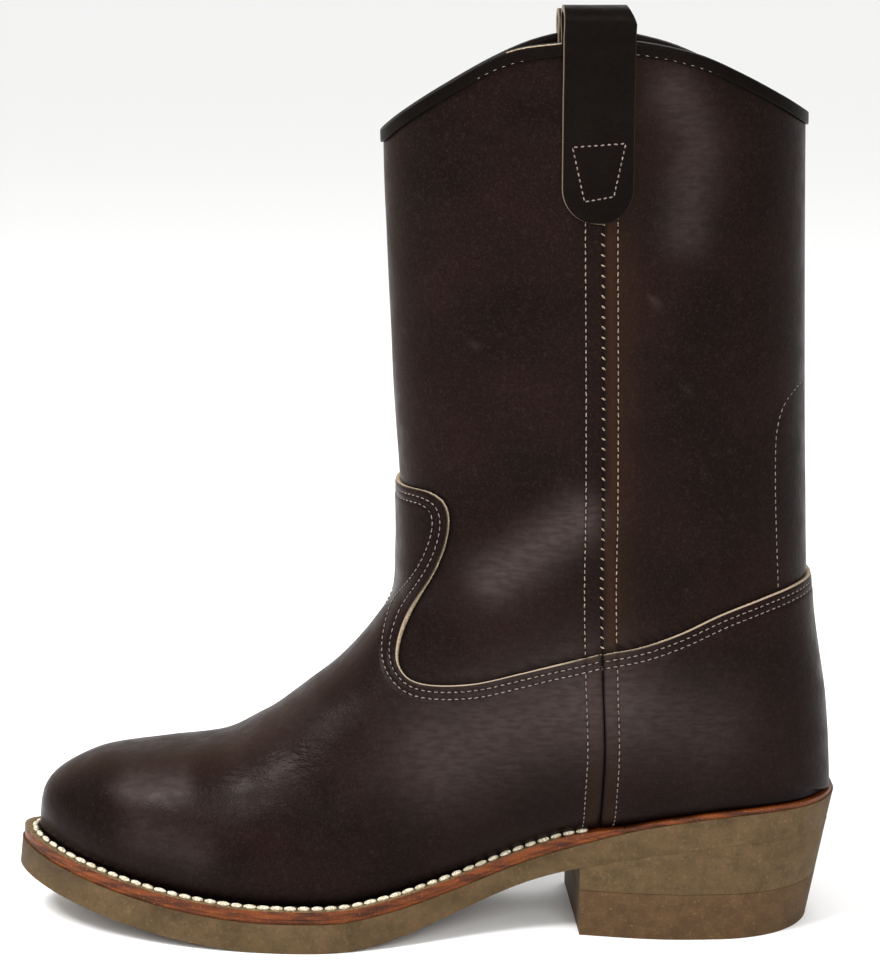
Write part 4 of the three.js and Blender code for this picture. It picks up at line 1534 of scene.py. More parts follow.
@dataclass
class Leather:
    """The upper: the shaft's wall, the vamp and the counter over it, and their sewing."""

    last: Last
    lines: SeamLines
    finishes: Finishes
    wall: float = 2.2
    overlay: float = 1.8
    bedding: float = 0.2
    clearance: float = 0.3
    first_row: float = 2.5
    second_row: float = 5.1
    seam_front: float = -5.3
    seam_rear: float = 6.3
    seam_gap: float = 0.15
    row_line: float = 0.45
    row_dip: float = 0.5
    row_depth: float = 0.3
    seam_width: float = 0.55
    seam_depth: float = 0.75
    turned_width: float = 0.9
    turned_depth: float = 0.8
    skived_width: float = 0.9
    skived_depth: float = 0.45
    # Paths (back, up) with a width and, for scuffs and the painted sheen patches (partly wear), a
    # strength
    scuffs: tuple = (
        (((139.8, 226.2), (139.8, 225.4)), 1.0, 0.14), (((66.0, 208.5), (63.0, 210.0)), 0.8, 0.05),
        (((77.5, 243.0), (77.5, 242.0)), 0.9, 0.07), (((71.0, 251.0), (70.6, 249.5)), 0.8, 0.04),
    )
    wrinkles: tuple = (
        (((141.0, 134.0), (123.0, 151.0), (100.5, 164.0)), 11.0),
        (((133.0, 92.0), (127.0, 84.0)), 5.0), (((228.0, 66.0), (206.0, 72.0)), 9.0),
    )
    painted_sheen_and_wear: tuple = (
        (((134.0, 139.0), (118.0, 151.0), (103.0, 163.0)), 9.0, 0.6),
        (((152.0, 74.0), (122.0, 88.0), (100.0, 95.0)), 21.0, 0.46),
        (((88.0, 92.0), (56.0, 84.0)), 18.0, 0.28), (((229.0, 68.0), (197.0, 84.0)), 5.0, 0.16),
        (((268.0, 56.0), (250.0, 57.0)), 5.0, 0.45), (((264.0, 42.0), (245.0, 37.0)), 8.0, 0.24),
        (((71.0, 318.0), (62.0, 300.0), (66.0, 268.0)), 9.0, 0.32),
    )
    fine: Thread = Thread(pitch=2.55, length=1.8, width=0.5, height=0.45)
    hidden: Thread = Thread(pitch=2.6, length=1.7, width=0.5, height=0.4)
    across_seam: Thread = Thread(
        pitch=3.7, length=1.8, width=0.75, height=0.7, lean=0.95, wander=0.25,
    )

    @property
    def over(self) -> float:
        """How far the overlays' outer face stands over the shaft's."""
        return self.clearance + self.overlay

    def build(self) -> None:
        """Builds the leather pieces and their stitches."""
        self._shaft()
        self._overlay("vamp", self.seam_gap, False)
        self._overlay("counter", -self.seam_gap, True)
        self._stitches()

    def _layers(self) -> dict[str, np.ndarray]:
        """Returns the distances that the meshes carry with them.

        Returns:
            The value at each grid place, by the layer's name.
        """
        lines, last = self.lines, self.last
        # Painted shade in the undercut just above the welt
        shade = 0.85 * (1 - smooth(last.height(), 0.5, 6.5))
        # Painted tint: browner where the surface faces up, forward or back rather than sideways,
        # for how the light falls
        ridge = 0.45 * (1 - smooth(np.abs(last.normals[..., 1]), 0.1, 0.7))
        beside = 0.3 * bell(lines.seam + 4.0, 8.0) * (lines.seam < 0) * (lines.counter > 0)
        scuff = self._marks(self.scuffs) * (last.normals[..., 1] < 0)
        # Painted sheen patches on toe, instep, ankle, counter and shaft, partly also wear where it
        # flexes
        painted_sheen_and_wear = self._marks(self.painted_sheen_and_wear)
        wrinkle = self._marks((path, width, 1.0) for path, width in self.wrinkles)
        return {
            "seam": lines.seam, "vamp": lines.vamp, "counter": lines.counter, "stay": lines.stay,
            "collar": lines.collar, "painted_shade": shade, "warm": np.maximum(ridge, beside),
            "cut": scuff, "wrinkle": wrinkle, "painted_sheen_and_wear": np.clip(painted_sheen_and_wear, 0.0, 0.7),
        }

    def _marks(self, marks: Iterable) -> np.ndarray:
        """Returns how strongly soft-edged paths show at each grid place.

        Args:
            marks: A path, a width and a strength for each.

        Returns:
            The sum of their strengths.
        """
        back, up = back_of(self.last.points), self.last.points[..., 2]
        return sum(
            strength * bell(distance_to(np.array(path), back, up)[0], width)
            for path, width, strength in marks
        )

    def _rows(self, at: Values, width: float) -> float:
        """Returns how near a place is to the rows beside the seam, given its distance from it."""
        return float(bell(at - self.seam_front, width) + bell(at - self.seam_rear, width))

    def _skin(self, distance: float) -> BMesh:
        """Returns the whole outer face of the leather at a distance over the last."""
        middle = self.last.normals[self.last.points.shape[0] // 2, self.last.end // 2]
        return sheet(self.last.skin(distance), middle, self._layers())

    def _mark_seam(self, mesh: BMesh) -> None:
        """Scores the side seam and its two rows, sinks them, paints shade into them, and colours
        the strip between.

        Args:
            mesh: The shaft's skin.
        """
        for level in (self.seam_front, self.seam_rear, -0.8, 0.0, 0.8):
            score(mesh, "seam", level)
        for row in (self.seam_front, self.seam_rear):
            score(mesh, "seam", row - 0.8)
            score(mesh, "seam", row + 0.8)
        layer = mesh.verts.layers.float
        seam, painted_shade, warm = layer["seam"], layer["painted_shade"], layer["warm"]
        # Painted shade in the sunk seam and its rows; a browner strip beside the seam
        for vert in mesh.verts:
            at = vert[seam]
            seam_dark = 0.95 * float(bell(at, 0.5))
            row_dark = 0.55 * self._rows(at, self.row_line)
            vert[painted_shade] = max(vert[painted_shade], seam_dark, row_dark)
            strip = float(smooth(-at, 0.6, 1.4) * (1 - smooth(-at, 4.6, 7.4)))
            vert[warm] = max(vert[warm], 0.6 * strip)
        shift_along_normals(
            mesh,
            lambda vert: -self.seam_depth * float(bell(vert[seam], self.seam_width))
            - self.row_depth * self._rows(vert[seam], self.row_dip)
            + 0.25 * float(bell(vert[seam] + 3.0, 2.0)),
        )

    def _mark_edge(self, mesh: BMesh, name: str) -> None:
        """Scores the stitch rows along a cut edge, sinks them and paints shade into them, and thins
        the leather at the edge.

        Args:
            mesh: The overlay's skin.
            name: The overlay, vamp or counter.
        """
        rows = (-self.first_row, -self.second_row)
        beside = (row + step for row in rows for step in (-0.7, 0.0, 0.7))
        for level in (-0.2, -0.45, *beside, -7.2):
            score(mesh, name, level)
        layer = mesh.verts.layers.float
        edge, painted_shade, cut = layer[name], layer["painted_shade"], layer["cut"]
        # Painted shade in the sunk rows; a pale cut edge
        for vert in mesh.verts:
            near = sum(float(bell(vert[edge] - row, self.row_line)) for row in rows)
            vert[painted_shade] = max(vert[painted_shade], 0.6 * near)
            light = self._rawness(ORIGIN_BACK - vert.co.x, vert.co.z)
            vert[cut] = max(vert[cut], float(smooth(vert[edge], -0.45, -0.2)) * light)
        shift_along_normals(
            mesh,
            lambda vert: -0.32 * sum(float(bell(vert[edge] - row, self.row_dip)) for row in rows)
            - self.skived_depth * float(bell(vert[edge], self.skived_width))
            - 0.2 * float(smooth(vert[edge], -7.2, -4.0)),
        )

    @staticmethod
    def _rawness(back: float, up: float) -> float:
        """Returns how light a cut edge is: palest low on the vamp's curve and behind the heel.

        Args:
            back: Distance forward.
            up: Height.

        Returns:
            A share from 0 to 1.
        """
        vamp = float(smooth(back, 100, 112) * (1 - smooth(up, 112, 138)))
        heel = float(1 - smooth(back, 60, 88))
        return 0.12 + 0.88 * max(vamp, heel)

    def _shaft(self) -> None:
        """Builds the wall of foot and shaft."""
        mesh = self._skin(0.0)
        self._mark_seam(mesh)
        for level in (0.6, 1.4):
            score(mesh, "stay", level)
        layer = mesh.verts.layers.float
        painted_shade, stay = layer["painted_shade"], layer["stay"]
        edges = layer["counter"], layer["vamp"]
        # Painted shade along the stay's row and on the shaft just outside the overlays' edges
        for vert in mesh.verts:
            beside = [0.8 * float(bell(max(vert[edge], 0.0), 1.2)) for edge in edges]
            vert[painted_shade] = max(vert[painted_shade], 0.5 * float(bell(vert[stay], 0.6)), *beside)
        self._finish(mesh, "shaft", "upper", self.wall)

    def _overlay(self, name: str, gap: float, behind: bool) -> None:
        """Builds the vamp, in front of the side seams, or the counter, behind them.

        Args:
            name: The overlay, vamp or counter.
            gap: Its distance from the seams, forward of them.
            behind: Whether it lies behind them.
        """
        mesh = self._skin(self.over)
        trim(mesh, name, 0.0)
        trim(mesh, "seam", gap, keep_below=behind)
        self._mark_edge(mesh, name)
        self._mark_overlay_seam(mesh)
        self._finish(mesh, name, name, self.overlay + self.bedding)

    def _finish(self, mesh: BMesh, name: str, node: str, thickness: float) -> None:
        """Gives a skin its leather and its thickness, and hides the node that it stands for.

        Args:
            mesh: The skin.
            name: Which leather it is.
            node: The node.
            thickness: Its thickness.
        """
        looks = self.finishes
        piece = finish_piece(
            mesh, f"{name}_leather", "upper_leather", looks.upper, looks.lining, looks.raw,
        )
        thicken(piece, thickness, 1, 2)
        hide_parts(node)

    def _mark_overlay_seam(self, mesh: BMesh) -> None:
        """Turns the leather down into the side seam and sinks the row beside it, painting shade
        into both.

        Args:
            mesh: The overlay's skin.
        """
        for row in (self.seam_front, self.seam_rear):
            for level in (row - 0.8, row, row + 0.8):
                score(mesh, "seam", level)
        for level in (-1.0, -0.5, 0.5, 1.0):
            score(mesh, "seam", level)
        layer = mesh.verts.layers.float
        seam, painted_shade, warm = layer["seam"], layer["painted_shade"], layer["warm"]
        # Painted shade where the leather turns into the seam and in its row; a browner strip beside
        # it
        for vert in mesh.verts:
            at = vert[seam]
            seam_dark = 0.8 * float(bell(at, 0.8))
            row_dark = 0.5 * self._rows(at, self.row_line)
            vert[painted_shade] = max(vert[painted_shade], seam_dark, row_dark)
            strip = float(smooth(abs(at), 0.6, 1.4) * (1 - smooth(abs(at), 4.4, 6.8)))
            vert[warm] = max(vert[warm], 0.25 * strip)
        shift_along_normals(
            mesh,
            lambda vert: -self.turned_depth * float(bell(vert[seam], self.turned_width))
            - self.row_depth * self._rows(vert[seam], self.row_dip),
        )

    def _trace(
        self, distance: float, values: np.ndarray, level: float, keep: np.ndarray,
    ) -> list[np.ndarray]:
        """Returns the stretches of a line over the leather where a second value is above nought.

        Args:
            distance: How far over the last the line lies.
            values: The value at each grid place.
            level: The value along the line.
            keep: The second value.

        Returns:
            Places and normals along each stretch.
        """
        last = self.last
        grid = np.concatenate([last.skin(distance), last.normals, keep[..., None]], axis=2)
        stretches = []
        for line in iso_lines(grid, values, level):
            line = soften(line)
            start = 0
            kept = line[:, 6] > 0
            for index in range(1, len(line) + 1):
                if index == len(line) or kept[index] != kept[start]:
                    if kept[start] and index - start > 3:
                        stretches.append(line[start:index, :6])
                    start = index
        return stretches

    def _stitches(self) -> None:
        """Sews the rows along the cut edges, beside the side seams and along the heel stay."""
        lines = self.lines
        on_shaft = np.minimum(np.minimum(lines.vamp, lines.counter), lines.collar - 4.6)
        on_vamp = np.minimum(-lines.vamp, lines.seam) - 0.4
        on_counter = np.minimum(-lines.counter, -lines.seam) - 0.4
        seed = 1
        mesh = bmesh.new()
        for level in (self.seam_front, self.seam_rear):
            for line in self._trace(0.0, -lines.seam, -level, on_shaft):
                sew(mesh, line, self.fine, -0.05, seed := seed + 1)
        for line in self._trace(0.0, lines.seam, 0.0, on_shaft):
            sew(mesh, line, self.across_seam, -0.25, seed := seed + 1)
        finish_piece(mesh, "shaft_stitching", "welt_leather", self.finishes.thread)
        mesh = bmesh.new()
        stay = np.where(lines.stay_side > 0, lines.stay, -lines.stay)
        for line in self._trace(0.0, stay, 0.0, np.minimum(on_shaft, 8 - lines.stay)):
            sew(mesh, line, self.hidden, 0.0, seed := seed + 1)
        finish_piece(mesh, "heel_stay_stitching", "welt_leather", self.finishes.dull_thread)
        overlays = ("vamp", lines.vamp, on_vamp), ("counter", lines.counter, on_counter)
        for name, edge, on_it in overlays:
            mesh = bmesh.new()
            for row in (self.first_row, self.second_row):
                for line in self._trace(self.over - 0.25, edge, -row, on_it):
                    sew(mesh, line, self.fine, 0.0, seed := seed + 1)
            own = self.seam_front if name == "counter" else self.seam_rear
            below = np.minimum(on_it, -edge - self.second_row)
            for line in self._trace(self.over - 0.2, lines.seam, own, below):
                sew(mesh, line, self.fine, 0.0, seed := seed + 1)
            finish_piece(mesh, f"{name}_stitching", "welt_leather", self.finishes.dull_thread)


@dataclass
class Collar:
    """The thin strip folded over the topline, and the row that holds it."""

    last: Last
    lines: SeamLines
    finishes: Finishes
    wall: float = 2.2
    clearance: float = 0.3
    thickness: float = 0.8
    depth: float = 4.3
    # Where the binding has worn to its raw side: distances forward
    bare_from: float = 110.0
    bare_to: float = 132.0
    thread: Thread = Thread(pitch=3.4, length=2.2, width=0.42, height=0.36)

    def build(self) -> None:
        """Builds the strip and its stitches."""
        last = self.last
        top, normals = last.points[-1], last.normals[-1]
        down = last.points[-6] - last.points[-1]
        down = down / np.abs(down[:, 2:3])
        out = self.clearance + self.thickness
        half = (self.wall + 2 * out) / 2
        rounding = [
            (half * math.cos(turn) - self.wall / 2, half * 0.45 * math.sin(turn))
            for turn in np.linspace(0, math.pi, 9)
        ]
        leg = [(out - 0.15 * (k == 0), -self.depth * (1 - k / 4)) for k in range(4)]
        inner_leg = [(-self.wall - out, -self.depth * k / 4) for k in range(1, 5)]
        profile = leg + rounding + inner_leg
        rings = []
        for offset, rise in profile:
            along = down * -rise if rise < 0 else np.array([0.0, 0.0, rise])
            rings.append(top + normals * offset + along)
        mesh = sheet(np.array(rings), (0.0, 0.0, 1.0))
        for face in mesh.faces:
            spot = face.calc_center_median()
            bare = self.bare_from < ORIGIN_BACK - spot.x < self.bare_to and spot.y < 0
            face.material_index = 2 if bare and -0.8 < face.normal.y < -0.3 else 0
        looks = self.finishes
        piece = finish_piece(
            mesh, "topline_binding", "strap_leather", looks.strap, looks.lining, looks.raw,
        )
        thicken(piece, self.thickness, 0, 0)
        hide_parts("collar_binding")
        grid = np.concatenate([last.skin(out - 0.15), last.normals], axis=2)
        stitches = bmesh.new()
        for line in iso_lines(grid, self.lines.collar, self.depth - 0.7)[:2]:
            if np.ptp(line[:, 0]) > 40:
                sew(stitches, soften(line), self.thread, 0.05, 7)
        finish_piece(stitches, "topline_stitching", "welt_leather", looks.dull_thread)


@dataclass
class PullStrap:
    """A strap sewn to the shaft outside, looped over the topline and sewn down inside."""

    last: Last
    finishes: Finishes
    side: Side
    middle: float
    loop_rise: float
    surface: BVHTree
    width: float = 25.6
    thickness: float = 2.2
    drop: float = 64.0
    inner_drop: float = 34.0
    loop_gap: float = 8.4
    pinch: float = 3.2
    wall: float = 2.2
    clearance: float = 0.3
    binding: float = 0.8
    binding_depth: float = 5.0
    columns: int = 14
    rawness: float = 0.55
    thread: Thread = Thread(pitch=2.1, length=1.4, width=0.6, height=0.5)

    def _skin(self, back: float, up: float) -> float:
        """Returns how far out the shaft's face lies, measured from the boot's middle plane.

        Args:
            back: Distance forward.
            up: Height.

        Returns:
            The distance in millimetres.
        """
        sign = self.side.value
        start = Vector((ORIGIN_BACK - back, ORIGIN_ACROSS + sign * 200, up))
        hit = self.surface.ray_cast(start, Vector((0, -sign, 0)))[0]
        return sign * (hit.y - ORIGIN_ACROSS)

    def _path(self, shift: float) -> np.ndarray:
        """Returns the strap's middle line for one column across it, as (back, out, up).

        Args:
            shift: The column's distance forward of the strap's middle.

        Returns:
            Places from the outer end over the loop to the inner end.
        """
        side = self.side.value
        collar = self.last.topline_up(self.middle, side)
        half = self.thickness / 2
        over = 2 * self.clearance + self.binding + half
        flat_end, foot = collar - 4 * self.binding_depth, collar - 2 * self.binding_depth
        bottom, round_end = collar - self.drop, self.width / 2
        near = 1 - np.cos(np.linspace(0.16, math.pi / 2, 12))
        ups = list(bottom + near * round_end)
        ups += list(np.linspace(ups[-1], foot, 22)[1:])
        path = []
        for up in ups:
            left = max(0.0, round_end - (up - bottom))
            back = self.middle + shift / round_end * math.sqrt(round_end**2 - left**2)
            lift = (over - self.clearance - half) * float(smooth(up, flat_end, foot))
            offset = self.clearance + half + lift
            path.append((back, self._skin(back, min(up, foot)) + offset, up))
        back = self.middle + shift
        wall_out = self._skin(back, foot)
        outer, inner = wall_out + over, wall_out - self.wall - over
        radius = self.loop_gap / 2 + half
        loop_up = collar + self.loop_rise - radius
        path += [(back, outer, up) for up in np.linspace(foot, loop_up, 5)[1:-1]]
        for turn in np.linspace(0, math.pi, 15):
            pinch = self.pinch * math.sin(turn) * (0.5 - shift / self.width)
            out = (outer + inner) / 2 + radius * math.cos(turn)
            path.append((back + pinch, out, loop_up + radius * math.sin(turn) ** 0.8))
        path += [(back, inner, up) for up in np.linspace(loop_up, foot, 5)[1:]]
        end = collar - self.inner_drop
        inside = self._skin(back, end) - self.wall - self.clearance - half
        path += [
            (back, inner + (inside - inner) * k / 6, foot + (end - foot) * k / 6)
            for k in range(1, 7)
        ]
        return np.array(path)

    def build(self) -> None:
        """Builds the strap and the stitching that holds its outer leg."""
        middle = np.linspace(-0.44, 0.44, self.columns + 1)
        shifts = self.width * np.concatenate([[-0.5, -0.482], middle, [0.482, 0.5]])
        paths = np.array([self._path(shift) for shift in shifts])
        run = np.gradient(paths[..., 1:], axis=1)
        run /= np.linalg.norm(run, axis=-1, keepdims=True)
        out = paths[..., 1] + self.thickness / 2 * run[..., 1]
        up = paths[..., 2] - self.thickness / 2 * run[..., 0]
        side = self.side.value
        face = place(paths[..., 0], side * out, up)
        cut = np.zeros(up.shape)
        cut[0], cut[-1], cut[:, 0] = 0.1 * self.rawness, self.rawness, 0.6 * self.rawness
        mesh = sheet(face, (0.0, float(side), 0.0), {"cut": cut})
        name = self.side.name.lower()
        looks = self.finishes
        piece = finish_piece(
            mesh, f"{name}_strap", "strap_leather", looks.strap, looks.strap, looks.raw,
        )
        thicken(piece, self.thickness, 1, 1)
        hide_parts(f"pull_strap_{name}")
        self._stitches()

    def _stitches(self) -> None:
        """Sews a tapering four-sided row through the outer leg."""
        collar = self.last.topline_up(self.middle, self.side.value)
        corners = ((9.2, -36.5), (-9.6, -35.2), (-5.6, -54.0), (4.8, -55.8), (9.2, -36.5))
        mesh = bmesh.new()
        for (shift, drop), (next_shift, next_drop) in zip(corners, corners[1:]):
            places = []
            for share in np.linspace(0, 1, 9):
                back = self.middle + shift + (next_shift - shift) * share
                up = collar + drop + (next_drop - drop) * share
                out = self._skin(back, up) + self.clearance + self.thickness
                spot = place(back, self.side.value * out, up)
                places.append((*spot, 0.0, float(self.side.value), 0.0))
            sew(mesh, np.array(places), self.thread, 0.05, 11)
        name = f"{self.side.name.lower()}_strap_stitching"
        finish_piece(mesh, name, "welt_leather", self.finishes.dull_thread)


@dataclass
class SoleUnit:
    """Outsole, midsole, welt with its stitches, and the two layers of the heel."""

    last: Last
    finishes: Finishes
    along_steps: int = 110
    across_steps: int = 10
    midsole_inset: float = 0.7
    welt_inset: float = 0.5
    heel_inset: float = 0.05
    toplift: float = 17.6
    undyed_from: float = 108.0
    stitched_from: float = 97.0
    clearance: float = 0.3
    wall: float = 2.2
    stitch_inset: float = 3.0
    welt_thread: Thread = Thread(pitch=5.0, length=4.6, width=2.2, height=1.9, facets=8, wander=0.1)

    def build(self) -> None:
        """Builds the layers from the floor up."""
        sole, finishes = self.last.sole, self.finishes
        outsole = self._slab(0.0, lambda back: 0.0 * back, sole.outsole_top)
        round_corners(outsole, 0.35)
        self._wobble(outsole, 0.18)
        piece = finish_piece(outsole, "crepe_outsole", "crepe", finishes.crepe)
        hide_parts("outsole")
        midsole = self._slab(
            self.midsole_inset, lambda back: sole.outsole_top(back) + self.clearance / 2,
            sole.midsole_top,
        )
        round_corners(midsole, 0.6)
        piece = finish_piece(midsole, "midsole_edge", "welt_leather", finishes.welt)
        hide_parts("midsole")
        self._welt()
        lift_up = self.toplift + self.clearance / 2
        self._heel("heel_block", 0.05, finishes.crepe, "heel_lift", lower_up=lift_up)
        self._heel("heel_top_lift", 0.0, finishes.toplift, "heel_toplift", upper_up=self.toplift)

    def _plan(self, along: np.ndarray, inset: float, limit: float | None = None) -> np.ndarray:
        """Returns a grid of (back, across) places over the sole's plan.

        Args:
            along: Places along each side.
            inset: How far in from the outline.
            limit: The greatest distance forward, or none.

        Returns:
            Places in plan, heel to toe by outer to inner.
        """
        sole = self.last.sole
        outer, inner = (sole.edge(along, side, inset) for side in (-1, 1))
        if limit is not None:
            outer[:, 0] = np.minimum(outer[:, 0], limit)
            inner[:, 0] = np.minimum(inner[:, 0], limit)
        share = np.linspace(0, 1, self.across_steps + 1)[None, :, None]
        return outer[:, None] + (inner - outer)[:, None] * share

    def _slab(self, inset: float, lower: Callable, upper: Callable) -> BMesh:
        """Returns a layer of the sole between two levels.

        Args:
            inset: How far in from the outline.
            lower: Gives the level of its underside.
            upper: Gives the level of its upper face.

        Returns:
            The closed layer.
        """
        sole = self.last.sole
        plan = self._plan(np.linspace(0, 1, self.along_steps + 1), inset)
        return self._solid(
            sole.on_sole(plan, lower(plan[..., 0])), -1.0, plan,
            lambda spot: sole.on_sole(spot, float(upper(spot[0]))),
        )

    @staticmethod
    def _solid(
        face: np.ndarray, facing: float, plan: np.ndarray, opposite: Callable,
        layers: dict[str, np.ndarray] | None = None,
    ) -> BMesh:
        """Returns a closed layer from its first face.

        Args:
            face: The first face's places.
            facing: 1 where it faces up, -1 where it faces down.
            plan: Their places in plan.
            opposite: Gives the place on the other face from the one in plan.
            layers: Further values for the mesh to carry.

        Returns:
            The layer.
        """
        carried = {"back": plan[..., 0], "across": plan[..., 1], **(layers or {})}
        mesh = sheet(face, (0.0, 0.0, facing), carried)
        back, across = mesh.verts.layers.float["back"], mesh.verts.layers.float["across"]
        copied = bmesh.ops.extrude_face_region(mesh, geom=mesh.faces[:])["geom"]
        for vert in (item for item in copied if isinstance(item, BMVert)):
            vert.co = opposite(np.array([vert[back], vert[across]]))
        bmesh.ops.remove_doubles(mesh, verts=mesh.verts, dist=0.005)
        bmesh.ops.recalc_face_normals(mesh, faces=mesh.faces)
        return mesh

    @staticmethod
    def _wobble(mesh: BMesh, amount: float) -> None:
        """Gives a sanded rubber side its slight unevenness, and leaves the tread flat.

        Args:
            mesh: The layer.
            amount: The greatest move, in millimetres.
        """
        for vert in mesh.verts:
            x, y, z = vert.co
            wave = math.sin(x * 0.31 + z * 0.7) + math.sin(x * 0.13 + y * 0.21)
            if vert.co.z > 1.5 and abs(vert.normal.z) < 0.7:
                vert.co.xy += vert.normal.xy * wave * amount / 2

    def _welt(self) -> None:
        """Builds the welt and its heavy stitches."""
        last, sole = self.last, self.last.sole
        half = np.linspace(float(sole.along_of(sole.welt_end / sole.length)), 1, 90)
        ends = [(half, -1), (half[:-1][::-1], 1)]
        share = np.linspace(0, 1, 5)[None, :, None]
        grids = []
        for along, side in ends:
            outer = sole.edge(along, side, self.welt_inset)
            portion = (1 - np.cos(np.pi * along)) / 2
            inset = np.array([last.leather_inset(p) for p in portion]) + self.wall + self.clearance
            inner = sole.edge(along, side, inset)
            grids.append(outer[:, None] + (inner - outer)[:, None] * share)
        plan = np.concatenate(grids)
        upper = np.maximum(sole.welt_top(plan[..., 0]), sole.midsole_top(plan[..., 0]) + 0.15)
        shade = np.broadcast_to(np.array([0.0, 0.35, 0.9, 1.0, 1.0]), plan.shape[:2])
        mesh = self._solid(
            sole.on_sole(plan, upper), 1.0, plan,
            lambda spot: sole.on_sole(spot, float(sole.midsole_top(spot[0])) + self.clearance / 2),
            {"shade": shade},
        )
        for face in mesh.faces:
            ahead = face.calc_center_median().x < ORIGIN_BACK - self.undyed_from
            face.material_index = int(face.normal.z > 0.7 and ahead)
        round_corners(mesh, 0.55)
        looks = self.finishes
        piece = finish_piece(mesh, "stitched_welt", "welt_leather", looks.welt, looks.welt_top)
        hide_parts("welt")
        stitches = bmesh.new()
        half = np.linspace(float(sole.along_of(self.stitched_from / sole.length)), 1, 200)
        inset = self.stitch_inset + 1.2 * smooth(half, 0.72, 0.95)
        path = np.concatenate([
            sole.edge(half, -1, inset), sole.edge(half[:-1][::-1], 1, inset[:-1][::-1]),
        ])
        spots = sole.on_sole(path, sole.welt_top(path[:, 0]))
        line = np.column_stack([spots, np.tile([0.0, 0.0, 1.0], (len(spots), 1))])
        sew(stitches, line, self.welt_thread, 0.45, 3)
        finish_piece(stitches, "welt_stitching", "welt_leather", looks.welt_thread)

    def _heel(
        self, name: str, inset: float, material: bpy.types.Material, node: str,
        lower_up: float = 0.0, upper_up: float | None = None,
    ) -> None:
        """Builds one layer of the heel.

        Args:
            name: The piece's name.
            inset: How much further in than the heel's outline it stands.
            material: Its rubber.
            node: The node that it stands for.
            lower_up: Height of its underside.
            upper_up: Height of its upper face, or none where it meets the outsole.
        """
        sole = self.last.sole
        along = np.linspace(0, float(sole.along_of(sole.breast_back / sole.length)), 50)
        plan = self._plan(along, self.heel_inset + inset, sole.breast_back)
        seat = sole.heel_rise + sole.seat_rise + sole.outsole

        def at(back: np.ndarray, across: np.ndarray, up: np.ndarray) -> np.ndarray:
            """Leans the heel in towards the floor, in one line with the outsole's edge."""
            rake = sole.heel_lean * (seat - up) * (1 - back / sole.breast_back)
            return place(back + rake, across, up)

        def upper(spot: np.ndarray) -> np.ndarray:
            """Returns the place on the upper face."""
            top = upper_up if upper_up is not None else float(sole.bottom(spot[0])) - 0.05
            return at(spot[0], spot[1], top)

        lower = at(plan[..., 0], plan[..., 1], lower_up + 0.0 * plan[..., 0])
        mesh = self._solid(lower, -1.0, plan, upper)
        round_corners(mesh, 0.3)
        piece = finish_piece(mesh, name, "toplift" if node == "heel_toplift" else "crepe", material)
        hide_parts(node)


@dataclass(frozen=True)
class Studio:
    """Floor, soft lights and the camera at the photograph's angle."""

    target: tuple[float, float, float] = (0.0045, -0.00043, 0.1675)
    azimuth: float = -3.0
    elevation: float = 11.5
    distance: float = 1.113
    focal_pixels: float = 2950.0
    long_side: int = 969
    sensor: float = 36.0

    def build(self) -> None:
        """Adds the floor, the lights and the camera."""
        bpy.context.scene.view_settings.view_transform = "Standard"
        self._floor()
        self._camera()
        self._light("key_softbox", (-0.8, -0.55, 1.35), 0.45, 23.0)
        self._light("front_softbox", (0.25, -1.5, 0.95), 0.8, 12.0)
        self._light("rear_softbox", (0.5, 0.9, 1.5), 0.8, 6.0)
        world = bpy.data.worlds.new("studio")
        bpy.context.scene.world = world
        world.use_nodes = True
        world.node_tree.nodes["Background"].inputs["Color"].default_value = (1.0, 1.0, 1.0, 1.0)
        world.node_tree.nodes["Background"].inputs["Strength"].default_value = 0.95

    def _floor(self) -> None:
        """Lays the floor."""
        mesh = bmesh.new()
        bmesh.ops.create_grid(mesh, x_segments=1, y_segments=1, size=14.0)
        data = bpy.data.meshes.new("floor")
        mesh.to_mesh(data)
        mesh.free()
        floor = bpy.data.objects.new("floor", data)
        bpy.context.scene.collection.objects.link(floor)
        data.materials.append(Finish("pale_floor", ground="F8F8F7").material())

    def _light(
        self, name: str, where: tuple[float, float, float], size: float, power: float,
    ) -> None:
        """Hangs a square softbox that faces the boot.

        Args:
            name: Its name.
            where: Its place, in metres.
            size: Its side, in metres.
            power: Its power, in watts.
        """
        lamp = bpy.data.lights.new(name, "AREA")
        lamp.shape = "SQUARE"
        lamp.size = size
        lamp.energy = power
        holder = bpy.data.objects.new(name, lamp)
        bpy.context.scene.collection.objects.link(holder)
        holder.location = where
        holder.rotation_mode = "QUATERNION"
        aim = Vector(where) - Vector(self.target)
        holder.rotation_quaternion = aim.to_track_quat("Z", "Y")

    def _camera(self) -> None:
        """Sets the camera."""
        turn, tilt = math.radians(self.azimuth), math.radians(self.elevation)
        level = math.cos(tilt)
        back = Vector((math.sin(turn) * level, -math.cos(turn) * level, math.sin(tilt)))
        data = bpy.data.cameras.new("photo_camera")
        data.sensor_width = self.sensor
        data.lens = self.focal_pixels * self.sensor / self.long_side
        data.dof.use_dof = False
        camera = bpy.data.objects.new("photo_camera", data)
        bpy.context.scene.collection.objects.link(camera)
        camera.location = Vector(self.target) + back * self.distance
        camera.rotation_mode = "QUATERNION"
        camera.rotation_quaternion = (-back).to_track_quat("-Z", "Y")
        bpy.context.scene.camera = camera
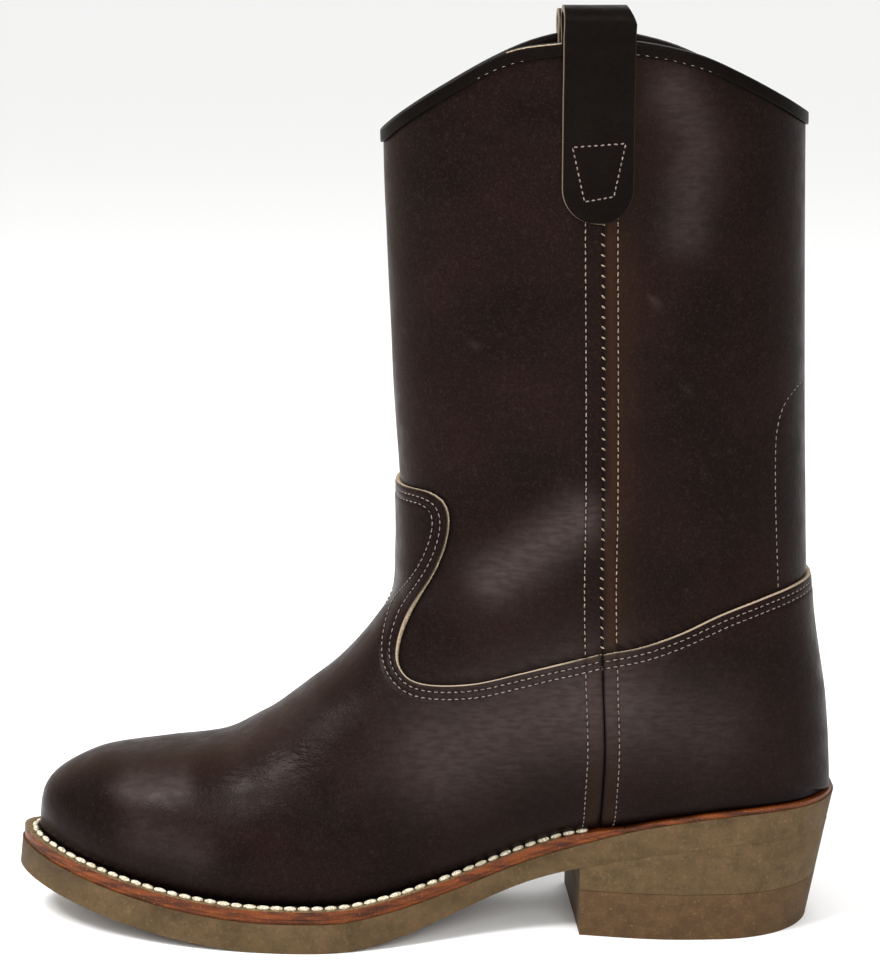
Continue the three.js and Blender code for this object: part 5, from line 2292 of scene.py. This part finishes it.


# Soft ridges (negative depth) and troughs of ankle, instep, ball and shaft
CREASES = (
    Crease(((141.0, 134.0), (123.0, 151.0), (100.0, 162.0), (84.0, 166.0)), -1.1, 10.0),
    Crease(((150.0, 158.0), (127.0, 175.5), (100.0, 183.0), (80.0, 184.0)), 1.0, 9.0),
    Crease(((140.0, 117.0), (112.0, 134.0), (92.0, 140.0)), 0.8, 8.0),
    Crease(((262.0, 52.0), (230.0, 71.0), (205.0, 83.0), (180.0, 95.0)), -0.9, 8.0),
    Crease(((250.0, 47.0), (215.0, 60.0), (175.0, 74.0), (150.0, 84.0)), 0.7, 9.0),
    Crease(((255.0, 38.0), (222.0, 33.0), (190.0, 38.0)), -0.7, 7.0),
    Crease(((150.0, 80.0), (163.0, 52.0), (168.0, 30.0)), 0.6, 10.0),
    Crease(((134.0, 93.0), (126.0, 82.0)), 0.4, 2.4),
    Crease(((130.0, 96.0), (122.0, 86.0)), 0.3, 2.2),
    Crease(((218.0, 82.0), (206.0, 66.0), (200.0, 48.0)), 0.5, 6.0),
    Crease(((64.0, 322.0), (62.0, 300.0), (60.0, 275.0)), -0.9, 12.0),
    Crease(((161.0, 285.0), (156.0, 240.0), (150.0, 205.0)), 0.7, 13.0),
    Crease(((84.0, 128.0), (58.0, 144.0), (30.0, 152.0)), 0.7, 9.0),
    Crease(((120.0, 250.0), (118.0, 225.0), (122.0, 200.0)), -0.5, 12.0),
)


def main() -> None:
    """Builds the boot piece by piece."""
    logging.basicConfig(level=logging.INFO, format="%(message)s")
    Studio().build()
    finishes = Finishes.build()
    last = Last(creases=CREASES)
    lines = SeamLines(last)
    Leather(last, lines, finishes).build()
    Collar(last, lines, finishes).build()
    surface = sheet(last.skin(0.0), last.normals[last.points.shape[0] // 2, last.end // 2])
    tree = BVHTree.FromBMesh(surface)
    PullStrap(last, finishes, Side.OUTER, 98.0, 12.0, tree).build()
    PullStrap(last, finishes, Side.INNER, 92.0, 7.5, tree).build()
    surface.free()
    SoleUnit(last, finishes).build()
    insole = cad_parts["insole"]
    for slot in insole.material_slots:
        slot.material = finishes.insole


if __name__ == "__main__":
    main()
